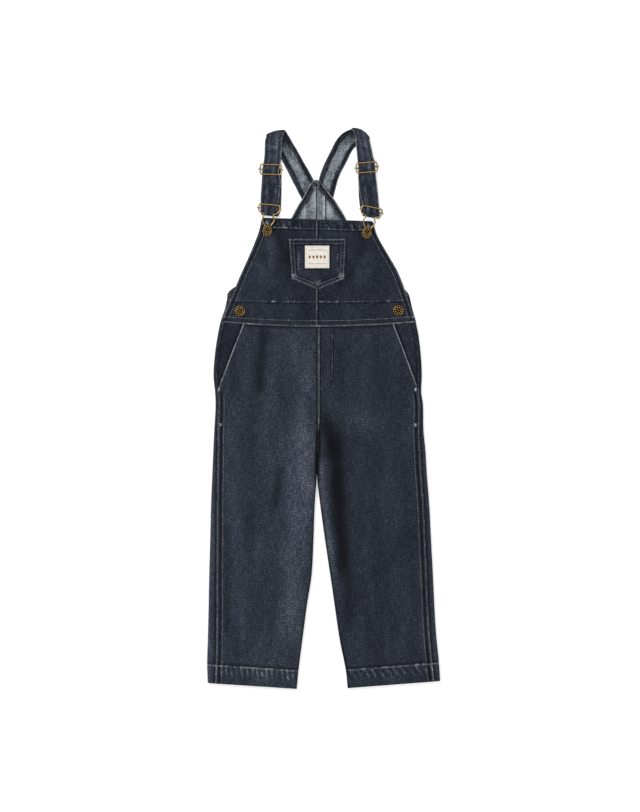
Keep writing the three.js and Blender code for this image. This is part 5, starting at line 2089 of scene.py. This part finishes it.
    def build(self) -> None:
        """Build every piece of the bib."""
        cloths = [self.finishes.denim, self.finishes.inside]
        for side in Side:
            word = side.label
            half = cloth_piece(f"bib_half_{word}", self.half(side), cloths, nodes=[f"bib_{word}"])
            CUTS["bib"].size
            self.sew(side)
        pocket = cloth_piece("pocket", self.pocket(), cloths, nodes=["bib_pocket"])
        CUTS["pocket"].size
        self.sew_pocket()
        label = cloth_piece("woven_label", self.label(), [self.finishes.label], Slot.LABEL, ["label"])
        CUTS["label"].size
        self.sew_label()


class Strap:
    """One strap: a hemmed ribbon from under the back's point, over the shoulder and round the clasp."""

    # Edge a, edge b, middle height and, where it folds over, the height after the fold.
    ROWS = {
        Side.LEFT: [
            (-24.2, 293.0, -12.0, 299.0, 1.0),
            (-30.4, 301.0, -12.0, 311.0, 1.0),
            (-35.5, 309.6, -12.6, 325.5, 1.0),
            (-43.5, 325.0, -18.4, 338.0, 1.0),
            (-51.5, 341.0, -28.0, 355.0, 1.0),
            (-60.0, 357.6, -38.0, 373.0, 1.0),
            (-69.0, 375.0, -47.2, 388.6, 1.0),
            (-77.5, 389.0, -53.0, 398.4, 1.0),
            (-83.6, 394.8, -55.4, 401.6, 1.1, 3.5),
            (-85.6, 388.0, -59.6, 396.0, 3.5),
            (-86.0, 378.0, -60.6, 381.0, 3.4),
            (-86.4, 366.0, -61.4, 367.0, 3.5),
            (-87.8, 355.6, -63.0, 354.8, 3.9),
            (-89.4, 346.6, -65.0, 345.8, 5.2),
            (-89.8, 338.6, -64.4, 337.8, 4.1),
            (-90.2, 330.0, -62.6, 329.4, 3.6),
            (-91.4, 314.0, -64.0, 313.4, 3.5),
            (-92.0, 299.4, -66.4, 297.4, 3.8),
            (-91.8, 290.6, -67.0, 288.4, 5.2),
            (-91.6, 284.8, -66.2, 282.6, 3.9),
            (-91.2, 282.4, -65.4, 280.2, 3.5, 1.1),
            (-90.2, 290.0, -62.6, 288.4, 1.0),
            (-89.6, 312.0, -61.6, 310.0, 1.0),
            (-89.2, 336.0, -61.4, 335.0, 1.0),
            (-89.0, 348.0, -62.4, 348.0, 1.0),
        ],
        Side.RIGHT: [
            (-9.0, 299.0, 8.4, 293.6, 1.0),
            (-9.0, 311.0, 13.2, 305.0, 1.0),
            (-8.6, 325.5, 18.0, 323.0, 1.0),
            (-5.4, 340.0, 23.0, 338.6, 1.0),
            (1.6, 357.4, 32.0, 356.0, 1.0),
            (10.4, 374.8, 40.6, 373.4, 1.0),
            (16.6, 387.2, 48.4, 381.6, 1.0),
            (24.4, 396.8, 56.0, 385.4, 1.0),
            (33.0, 402.6, 62.0, 387.6, 1.0),
            (40.0, 405.2, 66.0, 389.4, 1.1, 3.5),
            (45.0, 396.0, 67.6, 383.0, 3.5),
            (46.2, 383.4, 69.6, 373.4, 3.4),
            (47.4, 370.0, 71.6, 364.4, 3.5),
            (48.6, 357.4, 73.6, 358.0, 3.9),
            (49.6, 348.2, 74.2, 350.2, 5.2),
            (49.6, 340.0, 74.8, 341.8, 4.1),
            (49.6, 331.0, 76.0, 332.0, 3.6),
            (51.4, 313.0, 78.0, 314.0, 3.5),
            (54.8, 298.4, 79.8, 293.0, 3.8),
            (56.6, 288.6, 80.9, 283.2, 5.2),
            (56.0, 283.2, 81.0, 278.8, 3.9),
            (55.8, 281.2, 80.6, 276.8, 3.5, 1.1),
            (52.6, 290.0, 79.0, 285.0, 1.0),
            (50.4, 306.0, 77.0, 304.0, 1.0),
            (49.8, 326.0, 75.6, 326.0, 1.0),
            (49.6, 344.0, 75.0, 346.0, 1.0),
        ],
    }

    @dataclass(frozen=True)
    class Sizes:
        """Sizes of the strap in millimetres."""

        hem: float = 7.0
        hem_step: float = 0.7
        turn_steps: int = 5
        steps: int = 7
        rows: tuple[float, float] = (1.6, 6.0)

    size = Sizes()
    BOW = {Side.LEFT: 2.4, Side.RIGHT: 4.6}

    def __init__(self, side: Side, finishes: Finishes) -> None:
        """Work out the strap's edges and its facing direction along its length.

        Args:
            side: The strap's side.
            finishes: The materials.
        """
        self.side, self.finishes = side, finishes
        first, second, bowed = self.edges()
        self.a = smooth_path(first, self.size.steps, False)
        self.b = smooth_path(second, self.size.steps, False)
        self.bow = smooth_path(bowed, self.size.steps, False)
        middle = (self.a + self.b) / 2
        ahead = np.gradient(middle, axis=0)
        normal = np.cross(self.b - self.a, ahead)
        self.normal = normal / np.linalg.norm(normal, axis=1)[:, None]
        self.width = np.linalg.norm(self.b - self.a, axis=1)
        steps = np.linalg.norm(np.diff(middle, axis=0), axis=1)
        self.run = np.concatenate([[0.0], np.cumsum(steps)])

    def edges(self) -> tuple[list[Grid], list[Grid], list[Grid]]:
        """List both edges' points, with each fold put in as a half round.

        Returns:
            The points of edge a and of edge b, and how far the strap bows out between them.
        """
        first: list[Grid] = []
        second: list[Grid] = []
        bowed: list[Grid] = []
        for ax, ay, bx, by, z, *turn in self.ROWS[self.side]:
            a, b = np.array([ax, ay, z]), np.array([bx, by, z])
            if not turn:
                first.append(a)
                second.append(b)
                bowed.append(np.zeros(3))
                continue
            heading = (a + b - first[-1] - second[-1]) * (1, 1, 0)
            outward = np.array([a[1] - b[1], b[0] - a[0], 0.0])
            outward /= np.linalg.norm(outward)
            outward *= np.sign(outward @ heading)
            for k in range(self.size.turn_steps + 1):
                angle = math.pi * k / self.size.turn_steps
                shift = outward * abs(turn[0] - z) / 2 * math.sin(angle)
                height = z + (turn[0] - z) * (1 - math.cos(angle)) / 2
                bowed.append(outward * self.BOW[self.side] * (turn[0] > z))
                for edge, spot in ((first, a), (second, b)):
                    moved = spot + shift
                    moved[2] = height
                    edge.append(moved)
        return first, second, bowed

    def at(self, reach: object, depth: object) -> Grid:
        """Find points along the strap.

        Args:
            reach: Distance from edge a at each ring.
            depth: Distance from its middle, positive towards its wrong side.

        Returns:
            One point for each ring.
        """
        share = (np.asarray(reach) / self.width)[:, None]
        flat = self.a + (self.b - self.a) * share + self.bow * 4 * share * (1 - share)
        return flat + self.normal * np.asarray(depth)[..., None]

    def build(self) -> Piece:
        """Build the ribbon and its stitches.

        Returns:
            The ribbon.
        """
        s, half = self.size, FORM.strap_cloth / 2
        count = len(self.a)
        wide = self.width
        face = np.linspace(0, 1, 15)
        pucker = 0.06 * np.sin(2 * math.pi * self.run / 5.2)
        rings, across, inside = [], [], []

        def put(reach: Grid, depth: Grid, mark: bool = False) -> None:
            """Add the points of one line along the strap."""
            rings.append(self.at(reach, depth * np.ones(count)))
            across.append(reach)
            inside.append(mark)

        for t in face:
            reach = 0.5 + (wide - 1.0) * t
            margin = np.minimum(reach, wide - reach)
            crown = -half + 0.2 * (1 - ramp(margin, 0.3, 1.6)) + 0.14 * bell(margin - s.rows[1], 1.0)
            put(reach, crown + pucker * bell(margin - 4, 3))
        put(wide - 0.05, -half * 0.35)
        put(wide - 0.05, half * 0.35)
        rolled = [(0.6, 0.85), (1.8, 1.0), (s.hem - 1.6, 1.0), (s.hem - 0.3, 0.94)]
        rolled += [(s.hem, 1.0 - s.hem_step), (s.hem + 2.4, 1.0 - s.hem_step)]
        for k, (reach, depth) in enumerate(rolled):
            put(wide - reach, half * depth, k > 2)
        for k, (reach, depth) in reversed(list(enumerate(rolled))):
            put(reach + 0 * wide, half * depth, k > 3)
        put(0.05 + 0 * wide, half * 0.35)
        put(0.05 + 0 * wide, -half * 0.35)
        sides = len(rings)
        points = np.stack(rings, axis=1).reshape(-1, 3)
        reach = np.stack(across, axis=1)
        faces = loft_faces(count, sides, False)
        strip = np.array([1 if inside[k] and inside[(k + 1) % sides] else 0 for k in range(sides)])
        face_material = np.concatenate([np.tile(strip, count - 1), [0, 0]])
        margin = np.minimum(reach, wide[:, None] - reach)
        run = np.broadcast_to(self.run[:, None], reach.shape)
        uneven = 0.75 + 0.35 * patchy(reach, run, (2.5, 6), 71 + self.side.value)
        wear = (0.5 * bell(margin - 0.4, 0.7) + 0.26 * bell(margin - s.rows[1], 0.8)) * uneven
        streaks = patchy(reach, run, (1.7, 26), 72)
        wear += 0.16 * np.clip(streaks, 0, 1) * bell(margin - 9, 5)
        shade = 0.24 * streaks + 0.12 * patchy(reach, run, (4, 5), 73)
        # Painted shade between the hem's rows.
        shade = shade + 0.06 - 0.12 * bell(margin - 3.8, 1.4)
        # Painted shade before the shoulder fold, deepest near it, with more at the hem's step; the part
        # before the fold is darker overall.
        over = self.run[np.argmax(self.a[:, 2] > FORM.strap_cloth)]
        shade -= 0.42 * bell(over - run, 24) * (run < over)
        shade -= (0.16 + 0.2 * bell(margin - s.hem - 0.6, 1.2)) * (run < over)
        uv = np.stack([reach + 8400 + 100 * self.side.value, run], axis=2).reshape(-1, 2)
        word = self.side.label
        piece = mesh_piece(
            f"strap_ribbon_{word}", points, faces, [self.finishes.denim, self.finishes.inside], Slot.DENIM,
            [f"strap_{word}"], face_material=face_material,
            values={"wear": np.clip(wear, 0, 1).ravel(), "shade": shade.ravel()}, uv=uv
        )
        CUTS["strap"].size
        self.sew()
        return piece

    def sew(self) -> Piece:
        """Sew the hems' rows, seen on both faces.

        Returns:
            The stitches.
        """
        thread = Stitching(2.2, 0.9, 0.22)
        half = FORM.strap_cloth / 2
        for row in self.size.rows:
            for reach in (row + 0 * self.width, self.width - row):
                for face in (-1.0, 1.0):
                    path = self.at(reach, face * half * np.ones(len(self.width)))
                    starts = np.arange(3.0, self.run[-1] - 4.0, thread.length + thread.gap)
                    ends = [
                        np.stack([np.interp(starts + d, self.run, path[:, k]) for k in range(3)], axis=1)
                        for d in (0.0, thread.length)
                    ]
                    up = np.stack(
                        [np.interp(starts, self.run, face * self.normal[:, k]) for k in range(3)], axis=1
                    )
                    sink = np.where((up[:, 2] < 0) & (ends[0][:, 2] < half), 2 * thread.radius, 0.08)
                    thread.pairs(ends[0], ends[1], up, sink[:, None])
        return thread.piece(f"stitches_strap_{self.side.label}", self.finishes.dark_thread)


# Brass hardware


def cross_bar(half: float, nub: float, y: float, low: float, high: float) -> Grid:
    """Path of a bar that runs under the strap and rises to grip a frame's sides.

    Args:
        half: The frame's half width.
        nub: Half the bar's length.
        y: The bar's place along the strap.
        low: Height under the strap.
        high: Height of the frame.

    Returns:
        The path's points.
    """
    right = [(half - 2.8, low), (half - 1.2, low + 0.8), (half - 0.2, high - 0.3), (nub, high)]
    line = [(-x, y, z) for x, z in reversed(right)] + [(0.0, y, low)] + [(x, y, z) for x, z in right]
    return smooth_path(line, 6, False)


def bead(body: Body, place: tuple[float, float, float]) -> None:
    """Add a rubbed bead, the melted end of a bar."""
    points, faces = ball(16, 10)
    body.add(points * (0.9, 1.05, 1.05) + place, faces, np.full(len(points), 0.7))


@dataclass
class Slider:
    """The strap's length adjuster: a rounded wire frame with a bar under the strap."""

    side: Side
    finishes: Finishes

    @dataclass(frozen=True)
    class Sizes:
        """Sizes of the slider in millimetres and degrees."""

        half_width: float = 15.2
        half_height: float = 7.0
        corner: float = 3.0
        frame_z: float = 6.4
        bar_z: float = 3.2
        nub: float = 17.4
        wire: float = 1.05
        bar: float = 0.9

    size = Sizes()
    PLACE = {Side.LEFT: (-77.2, 346.2, -2.0), Side.RIGHT: (61.9, 349.2, 4.6)}

    def build(self) -> Piece:
        """Build the slider.

        Returns:
            The object.
        """
        s = self.size
        line = []
        for sx, sy in ((1, 1), (-1, 1), (-1, -1), (1, -1)):
            inner = (s.half_width - s.corner, s.half_height - s.corner)
            turn = [0, 22.5, 45, 67.5, 90] if sx * sy > 0 else [90, 67.5, 45, 22.5, 0]
            for degrees in turn:
                a = math.radians(degrees)
                x = inner[0] + s.corner * math.cos(a)
                line.append((sx * x, sy * (inner[1] + s.corner * math.sin(a)), s.frame_z))
        body = Body()
        body.wire(smooth_path(line, 4, True), s.wire, True)
        body.wire(cross_bar(s.half_width, s.nub, 0.0, s.bar_z, s.frame_z), s.bar, False)
        for x in (-s.nub, s.nub):
            bead(body, (x, 0.0, s.frame_z))
        body.place(*self.PLACE[self.side])
        word = self.side.label
        return body.piece(f"adjuster_{word}", self.finishes.brass, [f"slider_{word}"])


@dataclass
class Clasp:
    """The strap's lower fastener: a bent wire, its bar and a scalloped catch plate."""

    side: Side
    finishes: Finishes

    ROWS = [
        (12.0, 34.6, 6.7),
        (14.2, 33.2, 6.7),
        (15.4, 29.6, 6.7),
        (14.4, 25.4, 6.7),
        (11.4, 22.6, 6.7),
        (7.6, 21.2, 6.5),
        (6.6, 18.6, 6.1),
        (8.4, 14.6, 5.4),
        (7.8, 10.2, 5.0),
        (5.0, 5.6, 4.4),
        (3.4, 0.6, 3.5),
    ]
    PLACE = {Side.LEFT: (-81.9, 260.6, -5.0), Side.RIGHT: (62.8, 257.4, -12.0)}

    @dataclass(frozen=True)
    class Sizes:
        """Sizes of the clasp in millimetres."""

        wire: float = 1.05
        bar: float = 0.9
        bar_y: float = 29.0
        bar_z: float = 3.2
        half_width: float = 15.2
        nub: float = 17.2
        plate_y: float = -4.2
        plate_z: float = 3.0
        plate_thick: float = 1.3
        plate_radius: float = 6.6
        lobes: int = 8
        lobe_depth: float = 0.7
        hole_y: float = -1.2
        hole: float = 2.5

    size = Sizes()

    def plate(self) -> tuple[Grid, list[tuple[int, ...]], Grid]:
        """Shape the catch plate, a domed ring with scallops round the button's post.

        Returns:
            Its points, faces and rub.
        """
        s = self.size
        angle = np.linspace(0, 2 * math.pi, 96, endpoint=False)
        radius = s.plate_radius + s.lobe_depth * np.cos(s.lobes * angle)
        ring = np.stack([np.cos(angle), np.sin(angle)], axis=1)
        outer = ring * radius[:, None] + (0.0, s.plate_y)
        inner = ring * s.hole + (0.0, s.hole_y)
        low, high = s.plate_z, s.plate_z + s.plate_thick
        section = [
            (0.0, low, 0.1),
            (0.0, high - 0.2, 0.3),
            (0.12, high, 0.9),
            (0.6, high, 0.6),
            (0.8, high - 0.35, 0.0),
            (0.93, high - 0.1, 0.9),
            (1.0, high - 0.45, 0.6),
            (1.0, low + 0.25, 0.1),
            (0.96, low, 0.0),
        ]
        layers = []
        for share, z, _ in section:
            spot = inner + (outer - inner) * share
            layers.append(np.concatenate([spot, np.full((len(angle), 1), z)], axis=1))
        points = np.stack(layers, axis=1).reshape(-1, 3)
        rub = np.tile([mark for _, _, mark in section], len(angle))
        return points, loft_faces(len(angle), len(section), True), rub

    def build(self) -> Piece:
        """Build the clasp.

        Returns:
            The object.
        """
        s = self.size
        left = [(-x, y, z) for x, y, z in self.ROWS]
        body = Body()
        body.wire(smooth_path([*reversed(self.ROWS), *left], 6, False), s.wire, False)
        bar = cross_bar(s.half_width, s.nub, s.bar_y, s.bar_z, self.ROWS[0][2])
        body.wire(bar, s.bar, False)
        for x in (-s.nub, s.nub):
            bead(body, (x, s.bar_y, self.ROWS[0][2]))
        body.add(*self.plate())
        body.place(*self.PLACE[self.side])
        word = self.side.label
        return body.piece(f"wire_clasp_{word}", self.finishes.brass, [f"clasp_{word}"])


@dataclass
class Button:
    """A tack button: post, rolled rim, ring of petals and centre boss."""

    @dataclass(frozen=True)
    class Sizes:
        """Sizes of the button in millimetres."""

        head: float
        post: float
        dome: float
        rim: float = 0.9
        petals: int = 8
        steps: int = 64

    name: str
    size: Sizes
    finishes: Finishes

    def turned(self, profile: Points) -> tuple[Grid, list[list[int]]]:
        """Spin a profile about the vertical.

        Args:
            profile: Pairs of radius and height, from the axis to the axis.

        Returns:
            The points and faces.
        """
        shape = bmesh.new()
        verts = [shape.verts.new((radius, 0.0, z)) for radius, z in profile]
        edges = [shape.edges.new(pair) for pair in zip(verts[:-1], verts[1:])]
        bmesh.ops.spin(
            shape, geom=[*verts, *edges], axis=(0.0, 0.0, 1.0), cent=(0.0, 0.0, 0.0), steps=self.size.steps,
            angle=2 * math.pi, use_duplicate=False
        )
        bmesh.ops.remove_doubles(shape, verts=shape.verts, dist=0.0005)
        return taken(shape)

    def build(self, x: float, y: float, seat: float, under: float, node: str) -> Piece:
        """Build the button.

        Args:
            x: Place across.
            y: Place up the page.
            seat: Height of the post's foot.
            under: Height of the head's underside.
            node: The CAD node that it stands for.

        Returns:
            The object.
        """
        s = self.size
        r, top = s.head, under + s.rim + s.dome
        profile = [
            (0.0, seat),
            (s.post, seat),
            (s.post, under),
            (r - 0.5, under),
            (r - 0.05, under + 0.35),
            (r, under + 0.65),
            (r - 0.25, under + 1.05),
            (r - 0.75, under + 1.25),
            (r - 1.3, under + 1.15),
            (r - 1.6, under + 0.75),
            (r - 2.0, under + 0.7),
            (r - 2.4, under + 0.95),
            (r * 0.42, top - 0.75),
            (r * 0.34, top - 0.95),
            (r * 0.3, top - 0.9),
            (r * 0.25, top - 0.35),
            (r * 0.16, top - 0.05),
            (0.0, top),
        ]
        body = Body()
        points, faces = self.turned(profile)
        reach = np.hypot(points[:, 0], points[:, 1])
        rub = np.clip(1.2 * bell(reach - (r - 0.8), 0.55) + bell(reach, r * 0.2) - 0.3, -0.3, 1)
        body.add(points, faces, rub)
        round_points, round_faces = ball(16, 10)
        for k in range(s.petals):
            a = 2 * math.pi * (k + 0.5) / s.petals
            petal = round_points * (r * 0.165, r * 0.115, 0.42)
            c, n = math.cos(a), math.sin(a)
            spin = np.array([[c, n, 0], [-n, c, 0], [0, 0, 1]])
            spot = (r * 0.56 * c, r * 0.56 * n, under + 1.28)
            height = 1.1 * np.clip(petal[:, 2] / 0.42, 0, 1) - 0.1
            body.add(petal @ spin + spot, round_faces, height)
        body.place(x, y, 0.0)
        return body.piece(self.name, self.finishes.brass, [node])


def build_buttons(finishes: Finishes, bib: Bib) -> None:
    """Build the bib's and the sides' buttons.

    Args:
        finishes: The materials.
        bib: The bib that carries them.
    """
    bib_size = Button.Sizes(head=6.7, post=1.9, dome=1.5)
    side_size = Button.Sizes(head=7.7, post=3.0, dome=1.3)
    side_place = {Side.LEFT: (-121.8, 141.4), Side.RIGHT: (107.7, 142.0)}
    for side in Side:
        word = side.label
        x, y, turn = Clasp.PLACE[side]
        down, angle = Clasp.Sizes().hole_y, math.radians(turn)
        x, y = x - math.sin(angle) * down, y + math.cos(angle) * down
        seat = float(bib.surface(np.array(x), np.array(y))) + FORM.gap
        Button(f"tack_bib_{word}", bib_size, finishes).build(x, y, seat, 5.0, f"bib_button_{word}")
        x, y = side_place[side]
        seat = float(bib.surface(np.array(x), np.array(y))) + FORM.gap
        button = Button(f"tack_side_{word}", side_size, finishes)
        button.build(x, y, seat, seat + 0.8, f"side_button_{word}")


@dataclass(frozen=True)
class StudioSizes:
    """The photograph's field and lights, in metres and watts."""

    centre: tuple[float, float] = (-0.0058, 0.0036)
    field_height: float = 1.1774
    distance: float = 5.0
    sensor: float = 36.0
    floor: float = 12.0
    floor_drop: float = 0.0004
    world: float = 0.75


def build_studio(finishes: Finishes) -> None:
    """Lay the floor, hang the lights and set up the camera.

    Args:
        finishes: The materials.
    """
    size = StudioSizes()
    shape = bmesh.new()
    bmesh.ops.create_grid(shape, x_segments=1, y_segments=1, size=size.floor / 2)
    mesh = bpy.data.meshes.new("floor")
    shape.to_mesh(mesh)
    shape.free()
    mesh.transform(((1, 0, 0, 0), (0, 1, 0, 0), (0, 0, 1, -size.floor_drop), (0, 0, 0, 1)))
    mesh.materials.append(finishes.floor)
    floor = bpy.data.objects.new("floor", mesh)
    bpy.context.scene.collection.objects.link(floor)
    floor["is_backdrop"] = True
    world = bpy.data.worlds.new("studio")
    world.use_nodes = True
    background = world.node_tree.nodes["Background"]
    background.inputs[0].default_value = (1.0, 1.0, 1.0, 1.0)
    background.inputs[1].default_value = size.world
    bpy.context.scene.world = world
    lights = [("key", (-1.5, 1.3, 1.9), 1.1, 34.0), ("fill", (1.7, -0.6, 2.2), 1.6, 12.0)]
    for name, place, width, power in lights:
        light = bpy.data.lights.new(name, "AREA")
        light.shape = "DISK"
        light.size = width
        light.energy = power
        lamp = bpy.data.objects.new(name, light)
        lamp.location = place
        lamp.rotation_euler = (-Vector(place)).to_track_quat("-Z", "Y").to_euler()
        bpy.context.scene.collection.objects.link(lamp)
    camera = bpy.data.cameras.new("camera")
    camera.sensor_width = size.sensor
    camera.lens = size.sensor * size.distance / size.field_height
    camera.clip_end = 50.0
    eye = bpy.data.objects.new("camera", camera)
    eye.location = (size.centre[0], size.centre[1], size.distance)
    bpy.context.scene.collection.objects.link(eye)
    bpy.context.scene.camera = eye
    bpy.context.scene.view_settings.view_transform = "Standard"


@dataclass(frozen=True)
class SheetCut:
    """The flat size of what shows of a piece, in metres."""

    width: float
    length: float
    area: float = 0.0

    @property
    def size(self) -> tuple[float, float]:
        """Width and length together."""
        return self.width, self.length


CUTS = {
    "leg_front": SheetCut(0.160, 0.528, 0.0680),
    "leg_back": SheetCut(0.174, 0.530, 0.0820),
    "hip": SheetCut(0.053, 0.095, 0.0033),
    "fly": SheetCut(0.0187, 0.0915, 0.0015),
    "back": SheetCut(0.142, 0.214, 0.0165),
    "band": SheetCut(0.0105, 0.190, 0.0015),
    "bib": SheetCut(0.142, 0.157, 0.0167),
    "pocket": SheetCut(0.0822, 0.0735, 0.0051),
    "label": SheetCut(0.0354, 0.0327),
    "strap": SheetCut(0.0262, 0.345),
}


def main() -> None:
    """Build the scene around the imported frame."""
    logging.basicConfig(level=logging.INFO, format="%(message)s")
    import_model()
    cad_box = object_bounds()
    finishes = Finishes()
    back = Back(finishes)
    bib = Bib(finishes, back)
    for side in Side:
        Leg(side, finishes).build()
    back.build()
    bib.build()
    for side in Side:
        Strap(side, finishes).build()
        Slider(side, finishes).build()
        Clasp(side, finishes).build()
    build_buttons(finishes, bib)
    build_studio(finishes)
    {"cad": plain(cad_box), "visual": plain(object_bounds())}


def plain(box: object) -> object:
    """Turn vectors into plain lists of numbers.

    Args:
        box: Nested sequences of numbers.

    Returns:
        The same as lists.
    """
    if hasattr(box, "__len__"):
        return [plain(part) for part in box]
    return float(box)


if __name__ == "__main__":
    main()
